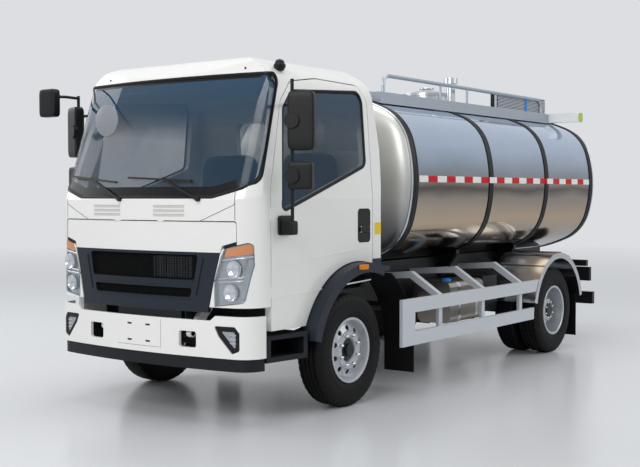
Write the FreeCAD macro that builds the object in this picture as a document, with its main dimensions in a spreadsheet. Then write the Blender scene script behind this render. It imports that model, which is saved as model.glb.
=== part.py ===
import FreeCAD, Part
import math
import os
import Sketcher
from FreeCAD import Placement, Rotation, Vector

# Tanker truck: a white cab-over light truck that carries a polished oval tank.
# Millimetres. +X is the vehicle's left, -Y its front, +Z up, and z = 0 is the road.
# The origin is the middle of the overall box, on the road.

doc = FreeCAD.newDocument("TankerTruck")
sheet = doc.addObject("Spreadsheet::Sheet", "Sizes")

SIZES = {
    # overall layout, along Y
    "front_overhang": 1250, "wheelbase": 3700, "rear_overhang": 1640,
    # wheels
    "tyre_diameter": 900, "tyre_width": 235, "rim_diameter": 495, "bead_clearance": 0.3,
    "front_tyre_centre": 1004, "rear_tyre_centre": 1080, "twin_spacing": 270,
    "hand_hole": 46, "hand_hole_circle": 350, "hand_hole_count": 10, "hub_radius": 98,
    "stub_radius": 36, "stub_gap": 0.05, "kingpin_radius": 20, "kingpin_centre": 880,
    # ladder frame
    "frame_half": 430, "frame_top": 840, "rail_height": 180, "rail_flange": 70, "rail_web": 8,
    # cab outer form
    "cab_half": 1040, "cab_front": 1240, "cab_rear": 567, "cab_belt": 1650, "cab_top": 2822,
    "cab_wall": 60, "cab_floor": 890, "corner_bottom": 869, "seat_floor": 1156, "floor_plate": 45,
    "corner_radius": 200, "front_bow": 5200, "tumblehome": 0.085,
    "screen_lean": 0.34, "tunnel_half": 385,
    # doors
    "door_front": 923, "door_back": 410, "door_bottom": 690, "door_gap": 8, "hinge_pin": 3.7,
    "sill_height": 1560, "glass_thickness": 6, "glass_inset": 8, "glass_gap": 0.5,
    "moving_gap": 6,
    # windscreen
    "screen_bottom": 1672, "screen_height": 2585, "screen_foot": 700, "screen_edge": 1001,
    "screen_edge_lean": 0.36, "dash_line": 1690,
    # wheel arch of the cab
    "arch_radius": 750, "arch_ahead": 190, "arch_height": 390, "arch_lip": 1150, "arch_wall": 50,
    # cab tilt
    "tilt_back": 1160, "tilt_height": 660, "tilt_pin": 18,
    # front face
    "grille_top": 1268, "grille_bottom": 828, "grille_half": 770, "flap_top": 1490,
    "flap_half": 902, "panel_gap": 8, "panel_thick": 30,
    # bumper
    "bumper_bottom": 500, "bumper_top": 771, "bumper_end": 985, "bumper_wall": 25,
    "bumper_radius": 170, "skirt_bottom": 405,
    # tank
    "tank_half": 1015, "tank_rise": 800, "tank_centre": 1810, "tank_front": 1100,
    "tank_length": 4050, "tank_dome": 150, "tank_crown": 1700, "tank_side": 1250,
    "tank_corner": 470, "band_width": 85, "band_thick": 8, "seat_gap": 0.3,
    # walkway on the tank
    "deck_half": 560, "deck_rise": 18, "deck_side": 120, "deck_start": 160, "deck_length": 3656,
    "rail_rise": 157, "rail_tube": 18, "manhole_radius": 250, "manhole_rise": 135,
    "manhole_back": 1950,
    # side guards
    "guard_outer": 1250, "guard_rail": 117, "guard_top": 811, "guard_low": 534,
    "guard_start": 548, "guard_length": 2633, "guard_thick": 30,
    # rear bars and ladder
    "bar_back": 5280, "ladder_tube": 17,
    # rear wheel mudguards
    "mudguard_radius": 615, "mudguard_wall": 6,
}

for row, (alias, value) in enumerate(SIZES.items(), start=1):
    sheet.set(f"A{row}", alias)
    sheet.set(f"B{row}", str(value))
    sheet.setAlias(f"B{row}", alias)
doc.recompute()


class Size:
    """A length that knows both its number and the spreadsheet formula that gives it."""

    def __init__(self, value, text):
        self.value = float(value)
        self.text = text

    def __float__(self):
        return self.value

    def __add__(self, other):
        return Size(self.value + float(other), f"({self.text} + {formula(other)})")

    def __radd__(self, other):
        return Size(float(other) + self.value, f"({formula(other)} + {self.text})")

    def __sub__(self, other):
        return Size(self.value - float(other), f"({self.text} - {formula(other)})")

    def __rsub__(self, other):
        return Size(float(other) - self.value, f"({formula(other)} - {self.text})")

    def __mul__(self, other):
        return Size(self.value * float(other), f"({self.text} * {formula(other)})")

    def __rmul__(self, other):
        return self.__mul__(other)

    def __truediv__(self, other):
        return Size(self.value / float(other), f"({self.text} / {formula(other)})")

    def __neg__(self):
        return Size(-self.value, f"(-{self.text})")


def formula(value):
    """The text that stands for a number or a Size in an expression."""
    return value.text if isinstance(value, Size) else repr(float(value))


def size(alias):
    """The named cell of the sheet."""
    return Size(sheet.get(alias), f"Sizes.{alias}")


def bind(thing, prop, value):
    """Give a property its number, and its formula where it comes from the sheet."""
    if isinstance(value, Size):
        thing.setExpression(prop, value.text)


nodes = []


def node(label, thing):
    """Name a finished sub-part after its file."""
    thing.Label = label
    nodes.append(thing)
    return thing


def box(name, x_span, y_span, z_span):
    """A bound block between two places along each axis."""
    block = doc.addObject("Part::Box", name)
    for side, (low, high) in zip(("Length", "Width", "Height"), (x_span, y_span, z_span)):
        setattr(block, side, float(high) - float(low))
        bind(block, side, high - low)
    block.Placement.Base = Vector(float(x_span[0]), float(y_span[0]), float(z_span[0]))
    for axis, (low, high) in zip("xyz", (x_span, y_span, z_span)):
        bind(block, f".Placement.Base.{axis}", low)
    return block


TURNS = {"X": Rotation(Vector(0, 1, 0), 90), "Y": Rotation(Vector(1, 0, 0), -90), "Z": Rotation()}


def rod(name, axis, start, radius, length):
    """A bound cylinder from a start point along one axis."""
    round_bar = doc.addObject("Part::Cylinder", name)
    round_bar.Radius = float(radius)
    round_bar.Height = float(length)
    bind(round_bar, "Radius", radius)
    bind(round_bar, "Height", length)
    round_bar.Placement = Placement(Vector(*map(float, start)), TURNS[axis])
    for letter, place in zip("xyz", start):
        bind(round_bar, f".Placement.Base.{letter}", place)
    return round_bar


def fused(name, things):
    """Pieces that are welded into one."""
    whole = doc.addObject("Part::MultiFuse", name)
    whole.Shapes = things
    return whole


def cut(name, base, tools):
    """A piece with others taken out of it."""
    tool = tools[0] if len(tools) == 1 else fused(name + "_tools", tools)
    rest = doc.addObject("Part::Cut", name)
    rest.Base = base
    rest.Tool = tool
    return rest


def group(name, things):
    """Like pieces that do not touch, kept in one file."""
    several = doc.addObject("Part::Compound", name)
    several.Links = things
    return several


def mirrored(name, thing):
    """The same piece on the vehicle's other side."""
    twin = doc.addObject("Part::Mirroring", name)
    twin.Source = thing
    twin.Normal = Vector(1, 0, 0)
    twin.Base = Vector(0, 0, 0)
    return twin


def pair(name, thing):
    """A left piece with its mirror image."""
    return group(name, [thing, mirrored(name + "_mirror", thing)])


def shaped(name, shape):
    """A piece whose form is worked out here from the sheet's values."""
    thing = doc.addObject("Part::Feature", name)
    thing.Shape = shape
    return thing


PLANES = {"X": "YZ_Plane", "Y": "XZ_Plane", "Z": "XY_Plane"}


def sketch_outline(body, name, axis, offset, points):
    """A closed sketch of straight lines across an axis, every corner bound to the sheet."""
    plane = next(f for f in body.Origin.OriginFeatures if f.Role == PLANES[axis])
    outline = body.newObject("Sketcher::SketchObject", name)
    outline.AttachmentSupport = (plane, "")
    outline.MapMode = "FlatFace"
    outline.AttachmentOffset = Placement(Vector(0, 0, float(offset)), Rotation())
    bind(outline, ".AttachmentOffset.Base.z", offset)
    spots = [Vector(float(a), float(b), 0) for a, b in points]
    count = len(spots)
    for index in range(count):
        outline.addGeometry(Part.LineSegment(spots[index], spots[(index + 1) % count]), False)
    for index in range(count):
        outline.addConstraint(Sketcher.Constraint("Coincident", index, 2, (index + 1) % count, 1))
    for index, (across, up) in enumerate(points):
        for kind, value in (("DistanceX", across), ("DistanceY", up)):
            number = outline.addConstraint(
                Sketcher.Constraint(kind, -1, 1, index, 1, float(value)))
            bind(outline, f"Constraints[{number}]", value)
    return outline


def prism(name, axis, points, start, end):
    """A sketch padded along an axis: (y, z) for X, (x, z) for Y and (x, y) for Z."""
    body = doc.addObject("PartDesign::Body", name)
    offset = -end if axis == "Y" else start
    outline = sketch_outline(body, name + "_outline", axis, offset, points)
    pad = body.newObject("PartDesign::Pad", name + "_pad")
    pad.Profile = outline
    pad.Length = float(end) - float(start)
    bind(pad, "Length", end - start)
    return body


def turned(name, points, centre):
    """A sketch of (x, radius) points turned about a line along X."""
    body = doc.addObject("PartDesign::Body", name)
    outline = sketch_outline(body, name + "_outline", "Y", 0, points)
    spin = body.newObject("PartDesign::Revolution", name + "_spin")
    spin.Profile = outline
    spin.ReferenceAxis = (outline, ["H_Axis"])
    spin.Angle = 360
    body.Placement = Placement(Vector(*map(float, centre)), Rotation())
    for letter, place in zip("xyz", centre):
        bind(body, f".Placement.Base.{letter}", place)
    return body


def arc_by(centre, radius, start, end, lift):
    """An arc edge between two angles in degrees; lift turns a flat pair into a 3-D point."""
    def spot(angle):
        turn = math.radians(angle)
        return lift(centre[0] + radius * math.cos(turn), centre[1] + radius * math.sin(turn))
    return Part.Arc(spot(start), spot((start + end) / 2), spot(end)).toShape()


def across_x(place):
    """Flat (y, z) pairs set at one x."""
    return lambda y, z: Vector(place, y, z)


def across_y(place):
    """Flat (x, z) pairs set at one y."""
    return lambda x, z: Vector(x, place, z)


def across_z(place):
    """Flat (x, y) pairs set at one z."""
    return lambda x, y: Vector(x, y, place)


def ring_sector(centre, inner, outer, start, end, x_low, x_high):
    """Part of a flat ring in the YZ plane, as thick as from x_low to x_high."""
    lift = across_x(x_low)
    rim = arc_by(centre, outer, start, end, lift)
    bore = arc_by(centre, inner, end, start, lift)
    ends = [rim.Vertexes[-1].Point, bore.Vertexes[0].Point, bore.Vertexes[-1].Point,
            rim.Vertexes[0].Point]
    wire = Part.Wire([rim, Part.makeLine(ends[0], ends[1]), bore, Part.makeLine(ends[2], ends[3])])
    return Part.Face(wire).extrude(Vector(x_high - x_low, 0, 0))


total = size("front_overhang") + size("wheelbase") + size("rear_overhang")
nose = -(total / 2)
axle = nose + size("front_overhang")
rear = axle + size("wheelbase")
tail = nose + total
wheel_height = size("tyre_diameter") / 2


def back(distance):
    """A place that lies this far behind the front axle."""
    return axle + distance


# Ladder frame: two channel rails, open towards each other, with cross members between them.
frame_half = size("frame_half")
frame_top = size("frame_top")
frame_low = frame_top - size("rail_height")
rail_inner = frame_half - size("rail_flange")
web = size("rail_web")
rail_front = back(-1180)
bar_end = back(size("bar_back"))
rail_end = bar_end - 150
rail_points = [
    (rail_inner, frame_low), (frame_half, frame_low), (frame_half, frame_top),
    (rail_inner, frame_top), (rail_inner, frame_top - web), (frame_half - web, frame_top - web),
    (frame_half - web, frame_low + web), (rail_inner, frame_low + web),
]
left_rail = prism("left_rail", "Y", rail_points, rail_front, rail_end)
radiator_back = back(-1135)
cross_places = [back(1150), back(1850), back(2600), rear - 620, rear + 620, rail_end - 60]
members = [
    box(f"cross_member_{number}", (-(frame_half - web), frame_half - web), (place, place + 60),
        (frame_top - 60, frame_top - web))
    for number, place in enumerate(cross_places)
]
members.append(box("front_member", (-(frame_half - web), frame_half - web),
                   (radiator_back, radiator_back + 65), (frame_low + web, frame_low + 60)))
tilt_y = back(-size("tilt_back"))
tilt_z = size("tilt_height")
pivot_half = frame_half + 55
pivot_lug = box("pivot_lug", (rail_inner, frame_half), (tilt_y - 28, tilt_y + 35),
                (tilt_z - 35, frame_low + web))
pivot_pin = rod("pivot_pin", "X", (rail_inner, tilt_y, tilt_z), size("tilt_pin"), pivot_half - rail_inner)
pivots = [pivot_lug, mirrored("right_pivot_lug", pivot_lug), pivot_pin,
          mirrored("right_pivot_pin", pivot_pin)]

# Cab mount: two posts and a bar behind the engine that the cab's floor rests on.
seat_floor_cell = size("seat_floor")
rest_gap = size("seat_gap")
mount_post = box("mount_post", (rail_inner, frame_half), (back(430), back(500)),
                 (frame_top - web, seat_floor_cell - rest_gap))
mount_top = box("mount_top", (-frame_half, frame_half), (back(430), back(500)),
                (seat_floor_cell - 56, seat_floor_cell - rest_gap))
pivots += [mount_post, mirrored("right_mount_post", mount_post), mount_top]
node("frame", fused("frame_whole", [left_rail, mirrored("right_rail", left_rail)] + members + pivots))

# Front axle: a dropped beam with an eye for the kingpin at each end.
king_x = size("kingpin_centre")
king_bore = size("kingpin_radius") + size("stub_gap")
beam_points = [
    (-king_x, wheel_height - 40), (-560, wheel_height - 90), (560, wheel_height - 90),
    (king_x, wheel_height - 40), (king_x, wheel_height + 40), (540, wheel_height + 10),
    (-540, wheel_height + 10), (-king_x, wheel_height + 40),
]
beam = prism("axle_beam", "Y", beam_points, axle - 40, axle + 40)
eye = rod("axle_eye", "Z", (king_x, axle, wheel_height - 55), 48, 110)
eye_bore = rod("axle_eye_bore", "Z", (king_x, axle, wheel_height - 90), king_bore, 180)
node("front_axle", cut("front_axle_whole", fused("front_axle_solid",
                                                 [beam, eye, mirrored("right_eye", eye)]),
                       [eye_bore, mirrored("right_eye_bore", eye_bore)]))

# Rear axle: a tube with the final drive's round housing in the middle and a stub at each end.
stub_end = size("rear_tyre_centre") + 55
axle_tube = rod("axle_tube", "X", (-640, rear, wheel_height), 62, 1280)
drive_housing = doc.addObject("Part::Sphere", "drive_housing")
drive_housing.Radius = 190
drive_housing.Placement.Base = Vector(0, float(rear), float(wheel_height))
bind(drive_housing, ".Placement.Base.y", rear)
bind(drive_housing, ".Placement.Base.z", wheel_height)
rear_stub = rod("rear_stub", "X", (-stub_end, rear, wheel_height), size("stub_radius"), stub_end * 2)
nose_piece = rod("drive_nose", "Y", (0, rear - 330, wheel_height), 70, 200)
brake_plate = rod("rear_brake_plate", "X", (600, rear, wheel_height), 175, 14)
node("rear_axle", fused("rear_axle_whole", [axle_tube, drive_housing, rear_stub, nose_piece, brake_plate,
                                            mirrored("right_brake_plate", brake_plate)]))


def leaf_pack(name, centre_y, x, seat_z, eye_z, half_length, leaves):
    """A stack of curved leaves: each is a flat arc from its seat on the axle up to its ends."""
    thick = 14
    width = 70
    solids = []
    for number in range(leaves):
        reach = half_length * (1 - 0.17 * number)
        rise = (eye_z - seat_z) * (reach / half_length) ** 2
        low = seat_z + (leaves - 1 - number) * thick
        outline = Part.Wire([
            Part.Arc(Vector(x, centre_y - reach, low + rise), Vector(x, centre_y, low),
                     Vector(x, centre_y + reach, low + rise)).toShape(),
            Part.makeLine(Vector(x, centre_y + reach, low + rise),
                          Vector(x, centre_y + reach, low + rise + thick)),
            Part.Arc(Vector(x, centre_y + reach, low + rise + thick), Vector(x, centre_y, low + thick),
                     Vector(x, centre_y - reach, low + rise + thick)).toShape(),
            Part.makeLine(Vector(x, centre_y - reach, low + rise + thick),
                          Vector(x, centre_y - reach, low + rise)),
        ])
        solids.append(Part.Face(outline).extrude(Vector(width, 0, 0)))
    return solids


# Leaf springs: a pack over each axle end, hung from the rails by an eye and a shackle.
front_seat = float(wheel_height) + 10
rear_seat = float(wheel_height) + 62.3
spring_x = float(frame_half) - 70
packs = []
for seat, centre_y, half_length in ((front_seat, float(axle), 560), (rear_seat, float(rear), 600)):
    eye_z = float(frame_low) - 62
    stack = leaf_pack("pack", centre_y, spring_x, seat, eye_z - 42, half_length, 4)
    shackles = [
        Part.makeBox(70, 50, float(frame_low) - eye_z + 60,
                     Vector(spring_x, centre_y + side * half_length - 25, eye_z - 60))
        for side in (-1, 1)
    ]
    pack = stack[0].multiFuse(stack[1:] + shackles)
    flip = pack.mirror(Vector(0, 0, 0), Vector(1, 0, 0))
    packs += [pack, flip]
node("leaf_springs", shaped("leaf_springs_all", Part.makeCompound(packs)))

# Engine and gearbox: one plain block under the cab, on mounts between the rails.
engine_block = box("engine_block", (-(rail_inner - 40), rail_inner - 40), (back(-450), back(500)),
                   (580, 1080))
gearbox = box("gearbox", (-170, 170), (back(500), back(1060)), (600, 900))
mount_bar = box("engine_mounts", (-rail_inner, rail_inner), (back(-200), back(-120)),
                (frame_low + 40, frame_top))
node("engine", fused("engine_whole", [engine_block, gearbox, mount_bar]))

# Radiator: the core that shows through the grille, standing on the first cross member.
node("radiator", box("radiator_core", (-(rail_inner - 20), rail_inner - 20),
                     (radiator_back, radiator_back + 65),
                     (frame_low + 60, seat_floor_cell - 12)))

# Drive shaft: the sloping tube from the gearbox down to the final drive.
shaft_from = Vector(0, float(back(1060)), 660)
shaft_to = Vector(0, float(rear - 330), float(wheel_height))
shaft_line = (shaft_to - shaft_from).normalize()
shaft_radius = 45
shaft_gap = shaft_radius * abs(shaft_line.z / shaft_line.y) + float(rest_gap)
shaft_run = (shaft_to - shaft_from).Length - 2 * shaft_gap
node("drive_shaft", shaped("drive_shaft_tube", Part.makeCylinder(
    shaft_radius, shaft_run, shaft_from + shaft_line * shaft_gap, shaft_line)))


def flat_prism(points, lift, depth):
    """A closed outline of straight lines and arcs, pushed along a vector.

    A point of three numbers gives its corner a radius.
    """
    count = len(points)
    edges = []
    ends = []
    for index in range(count):
        spot = Vector(*map(float, points[index][:2]), 0)
        if len(points[index]) == 2:
            ends.append((spot, None, spot))
            continue
        radius = float(points[index][2])
        before = Vector(*map(float, points[index - 1][:2]), 0) - spot
        after = Vector(*map(float, points[(index + 1) % count][:2]), 0) - spot
        half_angle = before.getAngle(after) / 2
        run = radius / math.tan(half_angle)
        bisector = (before.normalize() + after.normalize()).normalize()
        middle = spot + bisector * (radius / math.sin(half_angle) - radius)
        ends.append((spot + before * run, middle, spot + after * run))
    for index in range(count):
        first, middle, last = ends[index]
        following = ends[(index + 1) % count][0]
        if middle is not None:
            edges.append(Part.Arc(lift(first.x, first.y), lift(middle.x, middle.y),
                                  lift(last.x, last.y)).toShape())
        if (following - last).Length > 0.001:
            edges.append(Part.makeLine(lift(last.x, last.y), lift(following.x, following.y)))
    block = Part.Face(Part.Wire(edges)).extrude(depth)
    if block.Volume < 0:
        block.reverse()
    return block


# Cab outer form: a bowed front with round corners, raked above the belt, under a domed roof.
cab_half = float(size("cab_half"))
cab_front = float(back(-size("cab_front")))
cab_rear = float(back(size("cab_rear")))
cab_belt = float(size("cab_belt"))
cab_top = float(size("cab_top"))
corner = float(size("corner_radius"))
lean = float(size("screen_lean"))
bow = float(size("front_bow"))
eave = cab_top - 222
roof_front = cab_front + (eave - cab_belt) * lean + 67


def half_at(height):
    """Half width of the cab's side at a height: upright to the belt, then leaning in."""
    return cab_half - max(0.0, height - cab_belt) * float(size("tumblehome"))


def front_plan(half, inset, stretch, lift):
    """A front arc that runs into a round corner at each side, as (x, distance back) pairs."""
    arc, round_off = bow * stretch - inset, corner / stretch - inset
    inner = half - round_off
    centre = arc + inset - math.sqrt((arc - round_off) ** 2 - inner ** 2)
    reach = arc / (arc - round_off)
    meet = (inner * reach, arc + inset + (centre - arc - inset) * reach)
    start = math.atan2(meet[1] - centre, meet[0] - inner)
    middle = (inner + round_off * math.cos(start / 2), centre + round_off * math.sin(start / 2))
    far = 3200
    spot = lift
    return Part.Face(Part.Wire([
        Part.Arc(spot(-meet[0], meet[1]), spot(0, inset), spot(*meet)).toShape(),
        Part.Arc(spot(*meet), spot(*middle), spot(half, centre)).toShape(),
        Part.makeLine(spot(half, centre), spot(half, far)),
        Part.makeLine(spot(half, far), spot(-half, far)),
        Part.makeLine(spot(-half, far), spot(-half, centre)),
        Part.Arc(spot(-half, centre), spot(-middle[0], middle[1]), spot(-meet[0], meet[1])).toShape(),
    ]))


def cab_form(inset):
    """The cab's outer form, or that form drawn in by an inset.

    It is what an upright block, a raked block, the side view, the front view and the rounded
    rear corners have in common. The raked block is a little wider, so its corners run out above
    the belt.
    """
    half, back_edge, top = cab_half - inset, cab_rear - inset, cab_top - inset
    rake = math.atan(lean)
    up = Vector(0, math.sin(rake), math.cos(rake))
    inward = Vector(0, math.cos(rake), -math.sin(rake))
    base = Vector(0, cab_front, cab_belt)
    form_low, form_front = 500, cab_front - 600
    upright = front_plan(half, inset, 1.0, lambda x, s: Vector(x, cab_front + s, form_low)).extrude(
        Vector(0, 0, 2600))
    raked = front_plan(half + 4, inset, 1 / math.cos(rake),
                       lambda x, s: base + inward * s + Vector(x, 0, 0) - up * 1300).extrude(up * 3700)
    side_view = flat_prism([
        (form_front, form_low), (back_edge + 1, form_low), (back_edge + 1, cab_belt + 400),
        (back_edge - 70, eave - inset, 150), (back_edge - 190, top - 16, 170), (back_edge - 520, top, 1500),
        (roof_front + 62, top - 97, 200), (roof_front - 338, top - 469), (form_front, top - 900),
    ], across_x(-1300), Vector(2600, 0, 0))
    shoulder = half_at(eave) - inset
    front_view = flat_prism([
        (-half - 2, form_low), (half + 2, form_low), (half + 2, cab_belt - 20),
        (shoulder, eave - inset, 260),
        (shoulder - 230, top - 100, 260), (0, top + 16, 3000), (230 - shoulder, top - 100, 260),
        (-shoulder, eave - inset, 260), (-half - 2, cab_belt - 20),
    ], across_y(form_front), Vector(0, 3600, 0))
    rear_corners = flat_prism([
        (-half - 2, back_edge, 45), (-half - 2, form_front), (half + 2, form_front),
        (half + 2, back_edge, 45),
    ], across_z(form_low), Vector(0, 0, 2500))
    return front_view.common(side_view).common(rear_corners).common(upright).common(raked)


# Door outline, seen from the side: (y, z) corners with their radii, and the arch taken out.
door_front = float(back(-size("door_front")))
door_back = float(back(size("door_back")))
door_bottom = float(size("door_bottom"))
door_gap = float(size("door_gap"))
arch_centre = (float(back(size("arch_ahead"))), float(size("arch_height")))
arch_radius = float(size("arch_radius"))


def door_outline(grow):
    """The door's shape across X, or the larger opening that it shuts into."""
    return flat_prism([
        (door_front - grow, door_bottom - grow), (door_front - grow, cab_belt + 60, 60),
        (door_front + 190 - grow * 0.8, 2385 + grow * 0.5, 80),
        (door_front + 330 - grow * 0.5, 2540 + grow, 160),
        (door_front + 700, 2592 + grow, 600), (door_back - 80, 2580 + grow, 60),
        (door_back + 12 + grow, 2450, 90), (door_back + grow, cab_belt, 500),
        (door_back + grow, door_bottom - grow),
    ], across_x(0), Vector(1400, 0, 0))


def arch_disc(radius, x_low, x_high):
    """The round of the wheel arch as a solid disc across X."""
    return Part.makeCylinder(radius, x_high - x_low, Vector(x_low, *arch_centre), Vector(1, 0, 0))


wall = float(size("cab_wall"))
moving_gap = float(size("moving_gap"))
seat_floor = float(size("seat_floor"))
cab_floor = float(size("cab_floor"))
floor_plate = float(size("floor_plate"))
sill_step = float(back(-420))
outer_form = cab_form(0)
inner_form = cab_form(wall)
skin = outer_form.cut(inner_form)
opening = door_outline(door_gap)
doorway = opening.multiFuse([opening.mirror(Vector(0, 0, 0), Vector(1, 0, 0))])

# Front face openings: the windscreen, and the place that the service panel and grille close.
screen_bottom = float(size("screen_bottom"))
screen_height = float(size("screen_height"))
screen_foot = float(size("screen_foot"))
screen_edge = float(back(-size("screen_edge")))
edge_lean = float(size("screen_edge_lean"))
dash_line = float(size("dash_line"))
grille_top = float(size("grille_top"))
grille_bottom = float(size("grille_bottom"))
grille_half = float(size("grille_half"))
flap_top = float(size("flap_top"))
flap_half = float(size("flap_half"))
panel_gap = float(size("panel_gap"))
panel_thick = float(size("panel_thick"))


def front_prism(points, start, end):
    """An outline of (x, z) corners pushed back from the front."""
    return flat_prism(points, across_y(start), Vector(0, end - start, 0))


def screen_outline(shrink):
    """The windscreen's outline, drawn in by the gap of its seal.

    It wraps round the cab's corners to a sloping edge just ahead of the doors.
    """
    low, high = screen_bottom + shrink, screen_height - shrink
    foot, far = screen_foot - shrink, cab_half + 80
    seen_from_front = front_prism([
        (-foot, low, 100), (foot, low, 100), (foot + 230, low + 63, 100), (far, low + 138), (far, high),
        (-far, high), (-far, low + 138), (-foot - 230, low + 63, 100),
    ], cab_front - 200, float(back(-560)))
    edge_low = screen_edge - shrink
    edge_high = edge_low + (high - low - 128) * edge_lean
    seen_from_side = flat_prism([
        (cab_front - 300, low - 122), (edge_low - 334, low - 122), (edge_low, low + 128, 80),
        (edge_high, high, 90), (cab_front - 300, high),
    ], across_x(-far - 20), Vector(2 * far + 40, 0, 0))
    return seen_from_front.common(seen_from_side)


def front_outline(grow):
    """The service panel and grille together, or the larger opening behind them.

    The panel's ends drop a little as it swings out, so the opening is lower there.
    """
    half, shoulder, drop = grille_half + grow, flap_half + grow, 3 * grow
    right = [
        (half - 110, grille_bottom - grow), (half - 60, grille_bottom + 230), (half, grille_top + 10),
        (half + 16, grille_top + 50 - drop), (shoulder, grille_top + 81 - drop),
        (shoulder, flap_top + grow, 20),
    ]
    left = [(-corner_spot[0], *corner_spot[1:]) for corner_spot in reversed(right)]
    return front_prism(right + left, cab_front - 200, float(back(-1000)))


lamp_x = grille_half + panel_gap
lamp_outline = [
    (lamp_x - 58, 872), (cab_half - 78, 905, 40), (cab_half - 30, 1180), (cab_half - 34, 1350, 30),
    (lamp_x + 30, 1300, 20), (lamp_x, 1240), (lamp_x - 60, 1060),
]
lamp_space = front_prism(lamp_outline, cab_front - 200, float(back(-960)))
lamp_spaces = [lamp_space, lamp_space.mirror(Vector(0, 0, 0), Vector(1, 0, 0))]
tunnel = float(size("tunnel_half"))


def slab(x_span, y_span, z_span):
    """A plain block between two places along each axis."""
    spans = [tuple(map(float, span)) for span in (x_span, y_span, z_span)]
    return Part.makeBox(*[high - low for low, high in spans], Vector(*[low for low, high in spans]))


side_walls = skin.cut(doorway)
below_front = slab((-1200, 1200), (cab_front - 100, sill_step), (500, cab_floor))
corner_low = slab((-1200, 1200), (cab_front - 100, door_front - door_gap),
                  (float(size("corner_bottom")), cab_floor))
below_rear = slab((-1200, 1200), (sill_step, cab_rear + 100), (500, seat_floor))
side_walls = side_walls.cut(below_front.cut(corner_low).fuse(below_rear))
front_body = side_walls.cut(screen_outline(0)).cut(front_outline(panel_gap))
front_body = front_body.cut(Part.makeCompound(lamp_spaces))
rear_window = front_prism([(-520, 1750, 80), (520, 1750, 80), (500, 2330, 80), (-500, 2330, 80)],
                          cab_rear - 200, cab_rear + 100)
front_body = front_body.cut(rear_window)
inside_x = cab_half - wall + 1
floor_front = cab_front + wall + 30
footwells = [
    slab((side_low, side_high), (floor_front, sill_step), (cab_floor, cab_floor + floor_plate))
    for side_low, side_high in ((-inside_x, -tunnel), (tunnel, inside_x))
]
risers = [
    slab((side_low, side_high), (sill_step - floor_plate, sill_step), (cab_floor, seat_floor + floor_plate))
    for side_low, side_high in ((-inside_x, -tunnel), (tunnel, inside_x))
]
tunnel_sides = [
    slab((side_low, side_high), (floor_front, sill_step), (cab_floor, seat_floor + floor_plate))
    for side_low, side_high in ((-tunnel - floor_plate, -tunnel), (tunnel, tunnel + floor_plate))
]
tunnel_top = slab((-tunnel - floor_plate, tunnel + floor_plate), (floor_front, sill_step),
                  (seat_floor, seat_floor + floor_plate))
platform = slab((-inside_x, inside_x), (sill_step - 1, cab_rear - wall + 5),
                (seat_floor, seat_floor + floor_plate))
floor_solid = tunnel_top.multiFuse([platform] + footwells + risers + tunnel_sides)
floor_solid = floor_solid.common(inner_form)
door_inside = cab_half - wall - moving_gap
sill_cuts = [
    doorway.common(slab(side, (door_front - 50, door_back + 50), (cab_floor - 10, seat_floor + 200)))
    for side in ((-1200, -door_inside), (door_inside, 1200))
]
floor_solid = floor_solid.cut(Part.makeCompound(sill_cuts))
bulkhead = slab((-inside_x, inside_x), (floor_front, floor_front + 20), (cab_floor, dash_line - 50))
bulkhead = bulkhead.cut(slab((-tunnel, tunnel), (cab_front, cab_rear), (cab_floor - 1, seat_floor)))
scuttle = slab((-inside_x, inside_x), (cab_front, floor_front + 20), (dash_line - 90, dash_line - 60))
front_wall = bulkhead.fuse(scuttle).common(inner_form)

# Tilt arms run from the pivot pins up and back to the footwell floor.
tilt_y_mm, tilt_z_mm = float(tilt_y), float(tilt_z)
arm_x = float(frame_half) + 6
tilt_arm = flat_prism([
    (tilt_y_mm - 36, tilt_z_mm, 30), (tilt_y_mm, tilt_z_mm - 42, 30), (tilt_y_mm + 45, tilt_z_mm - 10, 30),
    (tilt_y_mm + 290, cab_floor), (tilt_y_mm + 168, cab_floor),
], across_x(arm_x), Vector(44, 0, 0))
tilt_bore = Part.makeCylinder(float(size("tilt_pin")) + float(size("stub_gap")), 60,
                              Vector(arm_x - 8, tilt_y_mm, tilt_z_mm), Vector(1, 0, 0))
tilt_arm = tilt_arm.cut(tilt_bore)
tilt_arms = [tilt_arm, tilt_arm.mirror(Vector(0, 0, 0), Vector(1, 0, 0))]

# Door hinge pins stand in the front gap, on the line that the door turns about.
pin_radius = float(size("hinge_pin"))
hinge_y = door_front - door_gap / 2
hinge_heights = (float(size("cab_floor")) + 40, float(size("sill_height")) - 60)
hinge_pins = []
for level in hinge_heights:
    pin = Part.makeCylinder(pin_radius, 90, Vector(cab_half, hinge_y, level))
    leaf = slab((cab_half - 14, cab_half), (hinge_y - 12, hinge_y), (level, level + 90))
    hinge_pins += [pin, leaf, pin.mirror(Vector(0, 0, 0), Vector(1, 0, 0)),
                   leaf.mirror(Vector(0, 0, 0), Vector(1, 0, 0))]

# The service panel hangs from two short pins in the gap along its upper edge.
flap_hinge_y = cab_front + 4
flap_hinge_z = flap_top + panel_gap / 2
for pin_x in (-260, 200):
    flap_pin = Part.makeCylinder(pin_radius, 60, Vector(pin_x, flap_hinge_y, flap_hinge_z), Vector(1, 0, 0))
    flap_leaf = slab((pin_x, pin_x + 60), (flap_hinge_y - 2, flap_hinge_y + 40),
                     (flap_hinge_z, flap_hinge_z + 10))
    hinge_pins += [flap_pin, flap_leaf]
cab_shell = front_body.multiFuse([floor_solid, front_wall] + tilt_arms + hinge_pins)
node("cab_shell", shaped("cab_shell_whole", cab_shell))

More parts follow.
